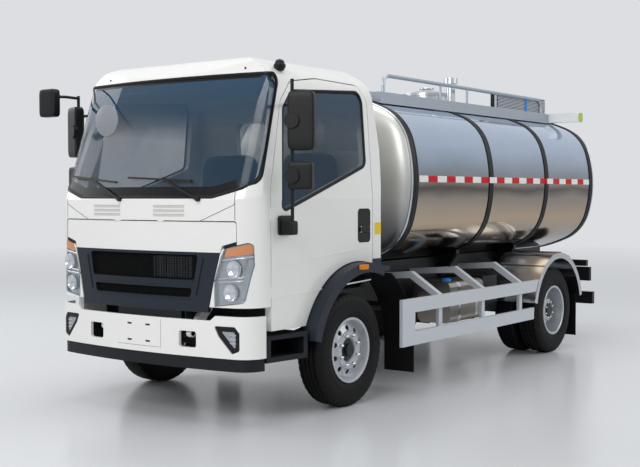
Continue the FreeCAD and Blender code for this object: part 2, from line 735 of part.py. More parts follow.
# Cab glass: the wrapped windscreen and the rear window, each just inside its seal.
glass_inset = float(size("glass_inset"))
glass_thickness = float(size("glass_thickness"))
glass_gap = float(size("glass_gap"))
glass_skin = cab_form(glass_inset).cut(cab_form(glass_inset + glass_thickness))
windscreen = glass_skin.common(screen_outline(glass_gap))
rear_cut = front_prism([(-519.5, 1750.5, 80), (519.5, 1750.5, 80), (499.5, 2329.5, 80),
                        (-499.5, 2329.5, 80)],
                       cab_rear - 200, cab_rear + 100)
rear_glass = glass_skin.common(rear_cut)
node("cab_glass", shaped("cab_glass_all", Part.makeCompound([windscreen, rear_glass])))

# Service panel and grille: one lid below the windscreen, hung from its upper edge.
front_skin = cab_form(4).cut(cab_form(4 + panel_thick))
lid_skin = front_skin.common(front_outline(0))
panel_low = slab((-1200, 1200), (cab_front - 100, cab_front + 300), (grille_top, flap_top + 50))
node("front_panel", shaped("front_panel_whole", lid_skin.common(panel_low)))
grille_zone = slab((-1200, 1200), (cab_front - 100, cab_front + 300),
                   (grille_bottom - 50, grille_top - 0.3))
upper_slot = front_prism([(-540, 1062, 20), (540, 1062, 20), (575, 1246, 20), (-575, 1246, 20)],
                         cab_front - 100, cab_front + 300)
lower_slot = front_prism([(-500, 934, 15), (500, 934, 15), (520, 1000, 15), (-520, 1000, 15)],
                         cab_front - 100, cab_front + 300)
node("grille", shaped("grille_whole", lid_skin.common(grille_zone).cut(upper_slot).cut(lower_slot)))

# Doors: cut from the cab's side, as thick as its wall, with a window and a pane.
window_points = [
    (door_front + 128, float(size("sill_height")), 40), (door_front + 215, 2330, 60),
    (door_front + 330, 2470, 90), (door_back - 98, 2525, 70), (door_back - 60, 2440, 60),
    (door_back - 70, 1925, 70), (door_back - 330, 1840, 90),
]


def window_prism(shrink):
    """The door window across X, drawn in by the gap of its seal."""
    middle_y = sum(point[0] for point in window_points) / len(window_points)
    middle_z = sum(point[1] for point in window_points) / len(window_points)
    drawn = [
        (y + math.copysign(shrink, middle_y - y), z + math.copysign(shrink, middle_z - z), radius)
        for y, z, radius in window_points
    ]
    return flat_prism(drawn, across_x(600), Vector(700, 0, 0))


door_body = skin.common(door_outline(0)).cut(arch_disc(arch_radius + door_gap, 800, 1300))
door_body = door_body.cut(window_prism(0))
left_door = door_body.fuse(slab((cab_half - 10, cab_half + 20), (door_back - 190, door_back - 60),
                                (1380, 1430)))
node("door_left", shaped("door_left_whole", left_door))
node("door_right", shaped("door_right_whole", left_door.mirror(Vector(0, 0, 0), Vector(1, 0, 0))))
door_pane = glass_skin.common(window_prism(glass_gap))
node("door_glass_left", shaped("door_glass_left_pane", door_pane))
node("door_glass_right", shaped("door_glass_right_pane", door_pane.mirror(Vector(0, 0, 0),
                                                                          Vector(1, 0, 0))))

# Headlamps: tall units that fill the openings at the front corners.
lamp_body = cab_form(3).cut(inner_form)
lamp_left = lamp_body.common(front_prism([
    (lamp_x - 57, 873), (cab_half - 79, 906, 40), (cab_half - 31, 1180), (cab_half - 35, 1349, 30),
    (lamp_x + 30.5, 1299, 20), (lamp_x + 1, 1240), (lamp_x - 59, 1060),
], cab_front - 200, float(back(-961))))
lamp_right = lamp_left.mirror(Vector(0, 0, 0), Vector(1, 0, 0))
dome_skin = cab_form(-24).cut(cab_form(-0.3))
marker_dome = dome_skin.common(Part.makeCylinder(28, 400,
                                                 Vector(half_at(eave) - 95, roof_front + 215, eave - 20)))
marker_domes = [marker_dome, marker_dome.mirror(Vector(0, 0, 0), Vector(1, 0, 0))]
node("cab_lamps", shaped("cab_lamps_all", Part.makeCompound([lamp_left, lamp_right] + marker_domes)))

# Cab wheel arches: a dark band round the front of each wheel, with a lip that stands proud.
arch_lip = float(size("arch_lip"))
arch_wall = float(size("arch_wall"))
arch_band = ring_sector(arch_centre, arch_radius - arch_wall, arch_radius, 70, 165, cab_half - 55, arch_lip)
arch_edge = ring_sector(arch_centre, arch_radius - 80, arch_radius, 70, 165, arch_lip - 22, arch_lip)
arch_tail = slab((cab_half - 55, arch_lip - 30), (door_back - 60, cab_rear - 10),
                 (arch_centre[1] + arch_radius - 85, arch_centre[1] + arch_radius - 45))
arch_post = slab((cab_half - 55, cab_half - 5), (door_back + door_gap + 8, cab_rear - 20),
                 (arch_centre[1] + arch_radius - 60, seat_floor))
arch_tongue = ring_sector(arch_centre, arch_radius - arch_wall, arch_radius - 5, 141, 150, cab_half - 120,
                          cab_half)
arch_stay = slab((cab_half - 120, cab_half - wall - 8), (sill_step - 60, sill_step), (740, cab_floor))
arch_left = arch_band.multiFuse([arch_edge, arch_tail, arch_post, arch_tongue, arch_stay])
node("cab_arches", shaped("cab_arches_all", Part.makeCompound(
    [arch_left, arch_left.mirror(Vector(0, 0, 0), Vector(1, 0, 0))])))

# Dashboard with the steering column, seats and wipers.
seat_gap = float(size("seat_gap"))
dash_half = inside_x - 90
dash_low = cab_floor + 330
dash_start = floor_front + 20.3
dash = flat_prism([
    (dash_start, dash_low), (dash_start + 190, dash_low), (dash_start + 300, dash_low + 180, 60),
    (dash_start + 270, dash_line - 120, 40), (dash_start, dash_line - 60.3),
], across_x(-dash_half), Vector(2 * dash_half, 0, 0)).common(cab_form(wall + seat_gap))
steer_x = 470
column_line = Vector(0, math.sin(math.radians(38)), math.cos(math.radians(38)))
wheel_centre = Vector(steer_x, dash_start + 420, dash_line - 90)
column_top = wheel_centre - column_line * 40.3
column = Part.makeCylinder(38, 330, column_top, column_line * -1)
node("dashboard", shaped("dashboard_whole", dash.fuse(column)))
wheel_rim = Part.makeTorus(200, 15, wheel_centre + column_line * 30, column_line)
wheel_hub = Part.makeCylinder(52, 50, wheel_centre - column_line * 40, column_line)
spokes = []
side_way = Vector(1, 0, 0)
up_way = column_line.cross(side_way)
for angle in (20, 160, 270):
    turn = math.radians(angle)
    way = side_way * math.cos(turn) + up_way * math.sin(turn)
    spokes.append(Part.makeCylinder(13, 200, wheel_centre + column_line * 2, way + column_line * 0.14))
node("steering_wheel", shaped("steering_wheel_whole", wheel_rim.multiFuse([wheel_hub] + spokes)))

seat_top = seat_floor + floor_plate
cushions = []
for seat_low, seat_high in ((steer_x - 250, steer_x + 250), (-700, 130)):
    cushion = flat_prism([
        (sill_step + 110, seat_top + 0.3), (sill_step + 600, seat_top + 0.3),
        (sill_step + 600, seat_top + 190, 40),
        (sill_step + 110, seat_top + 210, 60),
    ], across_x(seat_low), Vector(seat_high - seat_low, 0, 0))
    backrest = flat_prism([
        (sill_step + 601, seat_top + 60), (sill_step + 720, seat_top + 60, 40),
        (sill_step + 850, seat_top + 820, 50),
        (sill_step + 740, seat_top + 840, 50), (sill_step + 601, seat_top + 210),
    ], across_x(seat_low), Vector(seat_high - seat_low, 0, 0))
    foot = slab((seat_low + 40, seat_high - 40), (sill_step + 601, sill_step + 680),
                (seat_top + 0.3, seat_top + 59.7))
    cushions += [cushion, backrest, foot]
node("seats", shaped("seats_all", Part.makeCompound(cushions)))

wiper_skin = cab_form(-22).cut(cab_form(-6))
wiper_root = screen_bottom - 18


def wiper_strip(start, end, width):
    """A straight flat bar over the glass between two (x, z) places."""
    along = Vector(end[0] - start[0], end[1] - start[1], 0).normalize() * (width / 2)
    return front_prism([
        (start[0] - along.y, start[1] + along.x), (start[0] + along.y, start[1] - along.x),
        (end[0] + along.y, end[1] - along.x), (end[0] - along.y, end[1] + along.x),
    ], cab_front - 200, float(back(-900)))


wiper_pieces = []
for root_x, arm_end, blade_ends in ((590, (213, 1815), ((499, 1792), (-150, 1821))),
                                    (-200, (-620, 1825), ((-275, 1786), (-900, 1842)))):
    arm = wiper_skin.common(wiper_strip((root_x, wiper_root), arm_end, 18))
    blade = wiper_skin.common(wiper_strip(*blade_ends, 14))
    spindle = dome_skin.common(Part.makeCylinder(15, 600, Vector(root_x, cab_front - 200, wiper_root),
                                                 Vector(0, 1, 0)))
    wiper_pieces.append(arm.multiFuse([blade, spindle]))
node("wipers", shaped("wipers_all", Part.makeCompound(wiper_pieces)))

# Door mirrors: a bracket on the door, an upright tube and two heads turned to the driver.
tube_x = cab_half + 110
tube_y = door_front + 110
tube_low, tube_high = 1462, 2530
mirror_tube = Part.makeCylinder(13, tube_high - tube_low, Vector(tube_x, tube_y, tube_low))
low_bracket = slab((cab_half + 0.3, tube_x + 13), (tube_y - 30, tube_y + 60),
                   (tube_low - 70, tube_low + 40))
low_plate = slab((cab_half + 0.3, cab_half + 24), (tube_y - 40, tube_y + 120),
                 (tube_low - 75, tube_low + 75))
top_arm = Part.makeCylinder(13, tube_x - half_at(2360) + 20, Vector(tube_x, tube_y, tube_high - 170),
                            Vector(-1, 0.9, 0))


def mirror_head(height, width, tall, deep):
    """A round-cornered head beside the tube, turned about it towards the driver."""
    block = flat_prism([
        (-60, -tall / 2, 30), (width - 60, -tall / 2, 45), (width - 60, tall / 2, 45), (-60, tall / 2, 30),
    ], across_y(tube_y - deep / 2), Vector(0, deep, 0))
    pivot = Part.makeCylinder(30, deep + 24, Vector(-22, tube_y - deep / 2 - 12, 0), Vector(0, 1, 0))
    head = block.fuse(pivot)
    head.translate(Vector(tube_x + 30, 0, height))
    head.rotate(Vector(tube_x, tube_y, 0), Vector(0, 0, 1), 22)
    return head


mirror_left = mirror_tube.multiFuse([
    low_bracket, low_plate, top_arm, mirror_head(2225, 205, 430, 85), mirror_head(1825, 190, 205, 85)])
mirror_left = mirror_left.cut(cab_form(-0.3))
mirror_left = max(mirror_left.Solids, key=lambda piece: piece.Volume)
node("mirror_left", shaped("mirror_left_whole", mirror_left))
mirror_right = mirror_left.mirror(Vector(0, 0, 0), Vector(1, 0, 0))
look_arm = Part.makeCylinder(12, 330, Vector(-tube_x, tube_y, tube_high - 20), Vector(0.15, -1, 0))
look_head = slab((-tube_x - 60, -tube_x + 130), (tube_y - 380, tube_y - 300), (2330, 2560))
node("mirror_right", shaped("mirror_right_whole", mirror_right.multiFuse([look_arm, look_head])))

# Knuckles: a kingpin through the axle's eye, a fork round it and a stub for the wheel.
knuckle_z = float(wheel_height)
king_radius = float(size("kingpin_radius"))
king_mm = float(king_x)
axle_mm = float(axle)
stub_mm = float(size("stub_radius"))
front_centre = float(size("front_tyre_centre"))
kingpin = Part.makeCylinder(king_radius, 190, Vector(king_mm, axle_mm, knuckle_z - 95))
fork_top = Part.makeCylinder(46, 38, Vector(king_mm, axle_mm, knuckle_z + 57))
fork_low = Part.makeCylinder(46, 38, Vector(king_mm, axle_mm, knuckle_z - 95))
fork_back = slab((king_mm + 51, king_mm + 74), (axle_mm - 50, axle_mm + 50),
                 (knuckle_z - 95, knuckle_z + 95))
fork_arms = [
    slab((king_mm, king_mm + 60), (axle_mm - 46, axle_mm + 46), (knuckle_z + low, knuckle_z + low + 38))
    for low in (57, -95)
]
stub = Part.makeCylinder(stub_mm, front_centre + 65 - king_mm - 60,
                         Vector(king_mm + 60, axle_mm, knuckle_z),
                         Vector(1, 0, 0))
brake = Part.makeCylinder(165, 14, Vector(king_mm + 60, axle_mm, knuckle_z), Vector(1, 0, 0))
knuckle_left = kingpin.multiFuse([fork_top, fork_low, fork_back, stub, brake] + fork_arms)
node("knuckle_left", shaped("knuckle_left_whole", knuckle_left))
node("knuckle_right", shaped("knuckle_right_whole", knuckle_left.mirror(Vector(0, 0, 0), Vector(1, 0, 0))))

# Wheels: drop-centre rims with a dished disc, and tyres seated on them.
rim_seat = size("rim_diameter") / 2
half_tyre = size("tyre_width") / 2
tyre_outer = size("tyre_diameter") / 2
bore = size("stub_radius") + size("stub_gap")
hub_radius = size("hub_radius")


def tyre(name, centre_x, centre_y):
    """A tyre turned about its axle: bead, sidewall, shoulder and tread."""
    inside = rim_seat + size("bead_clearance")
    return turned(name, [
        (-half_tyre + 27, inside), (half_tyre - 27, inside), (half_tyre - 27, inside + 18),
        (half_tyre - 8, inside + 50), (half_tyre, inside + 95), (half_tyre - 10, tyre_outer - 35),
        (half_tyre - 28, tyre_outer), (-half_tyre + 28, tyre_outer), (-half_tyre + 10, tyre_outer - 35),
        (-half_tyre, inside + 95), (-half_tyre + 8, inside + 50), (-half_tyre + 27, inside + 18),
    ], (centre_x, centre_y, wheel_height))


def rim(name, centre_x, centre_y, side, disc, hub_end, bolt_pad):
    """A rim, its disc and hub: side is +1 where the disc faces +X, disc is its distance out."""
    edge = half_tyre - 10
    lip = rim_seat + 14
    points = [
        (-edge, lip), (-edge + 12, lip), (-edge + 12, rim_seat), (edge - 12, rim_seat),
        (edge - 12, lip), (edge, lip), (edge, rim_seat - 8), (disc + 8, rim_seat - 22),
        (disc + 34, hub_radius + 55), (bolt_pad, hub_radius + 50), (bolt_pad, hub_radius),
        (hub_end, hub_radius - 12), (hub_end, bore), (-44, bore), (-44, hub_radius + 20),
        (bolt_pad - 14, hub_radius + 40), (disc + 18, hub_radius + 50), (disc - 8, rim_seat - 34),
        (-edge, rim_seat - 12),
    ]
    return turned(name, [(side * across, up) for across, up in points], (centre_x, centre_y, wheel_height))


def hand_holes(name, wheel, centre_x, centre_y):
    """The ring of round holes through a disc."""
    circle = float(size("hand_hole_circle")) / 2
    count = int(float(size("hand_hole_count")))
    drills = []
    for number in range(count):
        turn = 2 * math.pi * number / count
        drills.append(Part.makeCylinder(
            float(size("hand_hole")) / 2, 400,
            Vector(float(centre_x) - 200, float(centre_y) + circle * math.sin(turn),
                   float(wheel_height) + circle * math.cos(turn)), Vector(1, 0, 0)))
    drill = shaped(name + "_drills", Part.makeCompound(drills))
    return cut(name, wheel, [drill])


front_x = size("front_tyre_centre")
outer_x = size("rear_tyre_centre")
twin_x = outer_x - size("twin_spacing")
twin_pad = size("twin_spacing") / 2 - size("seat_gap") / 2
for side, word in ((1, "left"), (-1, "right")):
    front_tyre = tyre(f"front_tyre_{word}_turned", side * front_x, axle)
    node(f"front_tyre_{word}", front_tyre)
    front_rim = rim(f"front_rim_{word}_turned", side * front_x, axle, side, 40, 62, 84)
    node(f"front_rim_{word}", hand_holes(f"front_rim_{word}_drilled", front_rim, side * front_x, axle))
for side, word in ((1, "left"), (-1, "right")):
    outer_tyre = tyre(f"outer_tyre_{word}", side * outer_x, rear)
    inner_tyre = tyre(f"inner_tyre_{word}", side * twin_x, rear)
    node(f"rear_tyres_{word}", group(f"rear_tyres_{word}_pair", [outer_tyre, inner_tyre]))
    outer_rim = rim(f"outer_rim_{word}", side * outer_x, rear, -side, 60, 40, twin_pad)
    inner_rim = rim(f"inner_rim_{word}", side * twin_x, rear, side, 60, 40, twin_pad)
    node(f"rear_rims_{word}", group(f"rear_rims_{word}_pair", [outer_rim, inner_rim]))

# Front bumper: a white shell bowed like the cab, with tow and fog lamp openings.
bumper_bottom = float(size("bumper_bottom"))
bumper_top = float(size("bumper_top"))
bumper_end = float(back(-size("bumper_end")))
bumper_wall = float(size("bumper_wall"))
bumper_front = float(nose)


def bumper_plan(front, half, wall_in, low, high):
    """The bumper's plan as a solid block: a bowed front and round corners."""
    saved = bow - wall_in
    round_off = float(size("bumper_radius")) - wall_in
    half, front = half - wall_in, front + wall_in
    inner = half - round_off
    centre_y = front + saved - math.sqrt((saved - round_off) ** 2 - inner ** 2)
    reach = saved / (saved - round_off)
    meet = Vector(inner * reach, front + saved + (centre_y - front - saved) * reach, low)
    start = math.atan2(meet.y - centre_y, meet.x - inner)
    middle = Vector(inner + round_off * math.cos(start / 2), centre_y + round_off * math.sin(start / 2),
                    low)
    side_spot = Vector(half, centre_y, low)
    back_spot = Vector(half, bumper_end + (wall_in and 5), low)

    def other(point):
        return Vector(-point.x, point.y, point.z)

    face = Part.Face(Part.Wire([
        Part.Arc(other(meet), Vector(0, front, low), meet).toShape(),
        Part.Arc(meet, middle, side_spot).toShape(),
        Part.makeLine(side_spot, back_spot), Part.makeLine(back_spot, other(back_spot)),
        Part.makeLine(other(back_spot), other(side_spot)),
        Part.Arc(other(side_spot), other(middle), other(meet)).toShape(),
    ]))
    return face.extrude(Vector(0, 0, high - low))


bumper_ends_top = bumper_top + 37
bumper = bumper_plan(bumper_front, cab_half, 0, bumper_bottom, bumper_ends_top).cut(
    bumper_plan(bumper_front, cab_half, bumper_wall, bumper_bottom - 1, bumper_ends_top + 1))
bumper_dip = front_prism([
    (-690, bumper_top), (690, bumper_top), (740, bumper_ends_top + 5), (-740, bumper_ends_top + 5),
], bumper_front - 50, bumper_end + 50)
openings = []
fog_outline = [
    (722, 735, 12), (900, 735, 20), (935, 690, 20), (935, 560, 20), (875, 535, 20), (760, 660, 20),
]
for sign in (1, -1):
    openings.append(front_prism([(sign * x, z, r) for x, z, r in fog_outline], bumper_front - 50,
                                bumper_end))
    openings.append(front_prism([
        (sign * 406, 565, 20), (sign * 566, 565, 20), (sign * 566, 685, 20), (sign * 406, 685, 20),
    ], bumper_front - 50, bumper_end))
inner_plan = bumper_plan(bumper_front, cab_half, bumper_wall - 1, bumper_bottom, bumper_top)
rail_low = float(frame_low)
brackets = [
    slab((low, high), (bumper_front + 20, rail_front), (bumper_top - 80,
                                                        bumper_top - 20)).common(inner_plan)
    for low, high in ((float(rail_inner), float(frame_half)), (-float(frame_half), -float(rail_inner)))
]
bumper = bumper.cut(bumper_dip).cut(Part.makeCompound(openings)).multiFuse(brackets)
node("front_bumper", shaped("front_bumper_whole", bumper))

# Skirt below the bumper and the cab steps: black moulded pieces on the frame.
skirt_bottom = float(size("skirt_bottom"))
skirt = bumper_plan(bumper_front + 15, cab_half - 15, 0, skirt_bottom, bumper_bottom).cut(
    bumper_plan(bumper_front + 15, cab_half - 15, 25, skirt_bottom - 1, bumper_bottom + 1))
step_back = float(back(-565))
step_front = bumper_end + 6
step_left = flat_prism([
    (cab_half - 230, step_front), (cab_half, step_front), (cab_half + 60, step_back),
    (cab_half - 230, step_back),
], across_z(460), Vector(0, 0, 197))
step_hollow = slab((cab_half - 200, cab_half + 100), (step_front + 40, step_back - 40), (500, 625))
step_hanger = slab((float(frame_half), cab_half - 229), (step_front + 120, step_front + 190), (560, 600))
step_drop = slab((float(frame_half), float(frame_half) + 30), (step_front + 120, step_front + 190),
                 (560, rail_low + 60))
step_left = step_left.cut(step_hollow).multiFuse([step_hanger, step_drop])
node("skirt_and_steps", shaped("skirt_and_steps_all", Part.makeCompound(
    [skirt, step_left, step_left.mirror(Vector(0, 0, 0), Vector(1, 0, 0))])))

# Rear bars: a cross bar on the rails, a lamp bar on their ends and a low underrun bar.
bar_half = 1000
rail_end_mm = float(rail_end)
frame_top_mm = float(frame_top)
upper_bar = box("upper_bar", (-bar_half, bar_half), (rail_end - 110, rail_end - 50),
                (frame_top, frame_top + 71))
lamp_bar = box("lamp_bar", (-bar_half, bar_half), (rail_end, rail_end + 50), (frame_low, frame_top - 17))
low_bar = box("low_bar", (-bar_half, bar_half), (bar_end - 60, bar_end), (380, 522))
bar_hanger = box("bar_hanger", (rail_inner, frame_half), (rail_end + 49, bar_end - 59),
                 (420, frame_top - 60))
node("rear_bars", fused("rear_bars_whole", [upper_bar, lamp_bar, low_bar, bar_hanger,
                                            mirrored("right_hanger", bar_hanger)]))

# Chassis lamps: fog lamps behind the bumper's openings and tail lamps on the lamp bar.
fog_body = bumper_plan(bumper_front, cab_half, 14, bumper_bottom, bumper_top).cut(
    bumper_plan(bumper_front, cab_half, bumper_wall + 12, bumper_bottom - 1, bumper_top + 1))
fog_left = fog_body.common(front_prism([
    (724, 733, 12), (899, 733, 20), (933, 689, 20), (933, 561, 20), (876, 538, 20), (762, 660, 20),
], bumper_front - 50, bumper_end))
tail_lamp = slab((bar_half - 330, bar_half - 20), (rail_end_mm + 50, rail_end_mm + 90),
                 (rail_low + 20, rail_low + 140))
lamp_pieces = [fog_left, tail_lamp]
node("chassis_lamps", shaped("chassis_lamps_all", Part.makeCompound(
    lamp_pieces + [piece.mirror(Vector(0, 0, 0), Vector(1, 0, 0)) for piece in lamp_pieces])))

# Mudguards and flaps: a black guard behind each front wheel and a flap behind each rear one.
guard_low_x, guard_high_x = 830, cab_half + 90
rear_guard = ring_sector(arch_centre, arch_radius - 16, arch_radius - 8, 8, 60, guard_low_x, guard_high_x)
flap_y = arch_centre[0] + (arch_radius - 16) * math.cos(math.radians(8))
flap_top = arch_centre[1] + (arch_radius - 12) * math.sin(math.radians(8))
front_flap = slab((guard_low_x, guard_high_x), (flap_y, flap_y + 8), (150, flap_top + 30))
guard_arm = slab((float(frame_half), guard_low_x + 1), (arch_centre[0] + 610, arch_centre[0] + 650),
                 (rail_low + 60, rail_low + 100))
front_guard = rear_guard.multiFuse([front_flap, guard_arm])
mudguard_radius = float(size("mudguard_radius"))
rear_mm = float(rear)
mudguard_wall = float(size("mudguard_wall"))
guard_end_angle = 12
flap_reach = (mudguard_radius - mudguard_wall) * math.cos(math.radians(guard_end_angle + 1))
flap_face = rear_mm + flap_reach - seat_gap
flap_head = knuckle_z + mudguard_radius * math.sin(math.radians(guard_end_angle)) + 8
rear_flap = slab((float(twin_x) - 125, float(outer_x) + 105), (flap_face - 8, flap_face), (120, flap_head))
flap_pieces = [front_guard, rear_flap]
node("mudflaps", shaped("mudflaps_all", Part.makeCompound(
    flap_pieces + [piece.mirror(Vector(0, 0, 0), Vector(1, 0, 0)) for piece in flap_pieces])))

# Rear mudguards: stainless arches over the twin wheels, on arms from the frame.
twin_centre = (rear_mm, knuckle_z)
guard_in, guard_out = float(twin_x) - 125, float(size("guard_outer"))
guard_turn = (guard_end_angle, 180 - guard_end_angle)
shell = ring_sector(twin_centre, mudguard_radius - mudguard_wall, mudguard_radius, *guard_turn, guard_in,
                    guard_out)
side_rib = ring_sector(twin_centre, mudguard_radius - 60, mudguard_radius, *guard_turn, guard_out - 5,
                       guard_out)
hoops = [
    ring_sector(twin_centre, mudguard_radius - 1, mudguard_radius + 9, angle, angle + 2.2, guard_in,
                guard_out)
    for angle in range(25, 170, 20)
]
guard_arms = [
    Part.makeCylinder(19, guard_out - 10 - float(frame_half),
                      Vector(float(frame_half), rear_mm + side * 470,
                             knuckle_z + math.sqrt((mudguard_radius - 24) ** 2 - 470 ** 2)),
                      Vector(1, 0, 0))
    for side in (-1, 1)
]
wheel_guard = shell.multiFuse([side_rib] + hoops + guard_arms)
node("rear_mudguards", shaped("rear_mudguards_all", Part.makeCompound(
    [wheel_guard, wheel_guard.mirror(Vector(0, 0, 0), Vector(1, 0, 0))])))

# Side guards: two rails each side with a rounded front plate, posts and arms from the frame.
guard_face = size("guard_outer")
guard_back = guard_face - size("guard_thick")
guard_top = size("guard_top")
guard_low = size("guard_low")
guard_rail = size("guard_rail")
guard_start = back(size("guard_start"))
guard_end = guard_start + size("guard_length")
post_places = [guard_start + 650, guard_start + 1450, guard_start + 2250]
guard_pieces = [
    box("guard_top_rail", (guard_back, guard_face), (guard_start + 200, guard_end),
        (guard_top - guard_rail, guard_top)),
    box("guard_low_rail", (guard_back, guard_face), (guard_start + 200, guard_end),
        (guard_low - guard_rail, guard_low)),
    box("guard_front_plate", (guard_back, guard_face), (guard_start, guard_start + 201),
        (guard_low - guard_rail, guard_top)),
]
sub_top = frame_top + 120
for number, place in enumerate(post_places):
    guard_pieces.append(box(f"guard_post_{number}", (guard_back - 30, guard_back), (place, place + 60),
                            (guard_low - guard_rail, guard_top)))
    guard_pieces.append(prism(f"guard_arm_{number}", "Y", [
        (frame_half, sub_top - 50), (frame_half, sub_top), (guard_back - 290, sub_top + 40),
        (guard_back, guard_top), (guard_back, guard_top - 60), (guard_back - 300, sub_top - 20),
    ], place, place + 60))
guard_whole = fused("side_guard_left_solid", guard_pieces)
guard_bite = rod("guard_bite", "X", (guard_back - 60, rear, wheel_height), size("mudguard_radius") + 12,
                 150)
guard_left = cut("side_guard_left_whole", guard_whole, [guard_bite])
node("side_guards", pair("side_guards_pair", guard_left))

# Fuel tank and the boxes along the frame.
fuel_start = back(1964)
fuel_body = flat_prism([(540, 450, 60), (900, 450, 60), (900, 850, 60), (540, 850, 60)],
                       across_y(float(fuel_start)),
                       Vector(0, 672, 0))
fuel_straps = [slab((float(frame_half), 545), (float(fuel_start) + shift, float(fuel_start) + shift + 50),
                    (rail_low + 20, rail_low + 160)) for shift in (90, 530)]
node("fuel_tank", shaped("fuel_tank_whole", fuel_body.multiFuse(fuel_straps)))
side_box = box("side_box", (frame_half + 0.3, 860), (back(2700), back(3010)), (500, 860))
battery = box("battery_case", (-840, -(frame_half + 0.3)), (back(1200), back(1780)), (500, 850))
air_front = rod("air_tank_front", "Y", (-570, back(1960), 700), 115, 560)
air_rear = rod("air_tank_rear", "Y", (-570, back(2600), 700), 115, 420)
air_hangers = [
    box(f"air_hanger_{number}", (-520, -(frame_half + 0.3)), (back(place), back(place + 50)), (690, 780))
    for number, place in enumerate((2050, 2380, 2700, 2900))
]
front_air = fused("air_front_whole", [air_front] + air_hangers[:2])
rear_air = fused("air_rear_whole", [air_rear] + air_hangers[2:])
node("frame_boxes", group("frame_boxes_all", [side_box, battery, front_air, rear_air]))

# Exhaust: the silencer under the left rail and its tail pipe.
silencer = rod("silencer", "Y", (-250, back(1250), 540), 105, 620)
tail_pipe = rod("tail_pipe", "Y", (-250, back(1869), 540), 34, 900)
cross_hanger = box("cross_hanger", (-frame_half, -225), (back(1300), back(1340)), (640, frame_low - 0.3))
node("exhaust", fused("exhaust_whole", [silencer, tail_pipe, cross_hanger]))

# Tank: an oval barrel of tangent arcs with a shallow dome at each end.
tank_half = float(size("tank_half"))
tank_rise = float(size("tank_rise"))
tank_centre = float(size("tank_centre"))
tank_front = float(back(size("tank_front")))
tank_rear = tank_front + float(size("tank_length"))
tank_crown = float(size("tank_crown"))
tank_side = float(size("tank_side"))
tank_corner = float(size("tank_corner"))


def oval(place, grow, share=1.0):
    """The tank's section: crown, side and corner arcs that meet without a kink."""
    half, rise = tank_half * share + grow, tank_rise * share + grow
    crown, flank, knee = tank_crown * share + grow, tank_side * share + grow, tank_corner * share + grow
    crown_z, flank_x = rise - crown, half - flank
    first, second = crown - knee, flank - knee
    gap_x, gap_z = flank_x, -crown_z
    span = math.hypot(gap_x, gap_z)
    along = (first ** 2 - second ** 2 + span ** 2) / (2 * span)
    off = math.sqrt(first ** 2 - along ** 2)
    way_x, way_z = gap_x / span, gap_z / span
    knee_x = along * way_x - off * way_z
    knee_z = crown_z + along * way_z + off * way_x
    if knee_x < 0 or knee_z < 0:
        knee_x = along * way_x + off * way_z
        knee_z = crown_z + along * way_z - off * way_x
    crown_turn = math.atan2(knee_z - crown_z, knee_x)
    flank_turn = math.atan2(knee_z, knee_x - flank_x)

    def at(x, z):
        return Vector(x, place, tank_centre + z)

    def arc(centre_x, centre_z, radius, start, end):
        turns = (start, (start + end) / 2, end)
        return Part.Arc(*[at(centre_x + radius * math.cos(t),
                             centre_z + radius * math.sin(t)) for t in turns]).toShape()

    right, down = math.pi, -1
    return Part.Wire([
        arc(0, crown_z, crown, right - crown_turn, crown_turn),
        arc(knee_x, knee_z, knee, crown_turn, flank_turn),
        arc(flank_x, 0, flank, flank_turn, -flank_turn),
        arc(knee_x, -knee_z, knee, -flank_turn, -crown_turn),
        arc(0, -crown_z, crown, -crown_turn, crown_turn - right),
        arc(-knee_x, -knee_z, knee, crown_turn - right, flank_turn - right),
        arc(-flank_x, 0, flank, flank_turn - right, -flank_turn - right),
        arc(-knee_x, knee_z, knee, right - flank_turn, right - crown_turn),
    ])


def oval_prism(low, high, grow):
    """A length of the tank's section, grown outwards."""
    return Part.Face(oval(low, grow)).extrude(Vector(0, high - low, 0))


dome = float(size("tank_dome"))
dome_steps = [(1.0, 0.12), (0.98, 0.35), (0.91, 0.6), (0.8, 0.77), (0.65, 0.875), (0.45, 0.945),
              (0.22, 0.985),
              (0.0, 1.0)]
sections = [oval(tank_front - dome * depth, 0, share) for depth, share in dome_steps]
sections += [oval(tank_rear + dome * depth, 0, share) for depth, share in reversed(dome_steps)]
tank_body = Part.makeLoft(sections, True, True)
node("tank", shaped("tank_whole", tank_body))

band_width = float(size("band_width"))
band_thick = float(size("band_thick"))
band_places = [tank_front, tank_front + 1440, tank_front + 2735, tank_rear - band_width]
bands = [
    oval_prism(place, place + band_width, band_thick).cut(oval_prism(place - 1, place + band_width + 1,
                                                                     seat_gap))
    for place in band_places
]
node("tank_bands", shaped("tank_bands_all", Part.makeCompound(bands)))

# Tank saddles: long beams on the rails and a cradle plate under each band.
tank_clear = oval_prism(tank_front - 10, tank_rear + 10, band_thick + seat_gap)
beam_low, beam_high = frame_top_mm + seat_gap, tank_centre - tank_rise + 140
frame_half_mm = float(frame_half)
saddles = [
    slab((low, high), (tank_front + 20, tank_rear - 160), (beam_low, beam_high))
    for low, high in ((float(rail_inner), float(frame_half)), (-float(frame_half), -float(rail_inner)))
]
cradle_top = tank_centre - tank_rise + 260
saddles += [
    flat_prism([
        (-frame_half_mm, beam_low), (frame_half_mm, beam_low), (640, beam_high - 60), (640, cradle_top),
        (-640, cradle_top), (-640, beam_high - 60),
    ], across_y(place + 12), Vector(0, 60, 0))
    for place in band_places[:3]
]
cradle = saddles[0].multiFuse(saddles[1:]).cut(tank_clear)
node("tank_saddles", shaped("tank_saddles_whole", cradle))

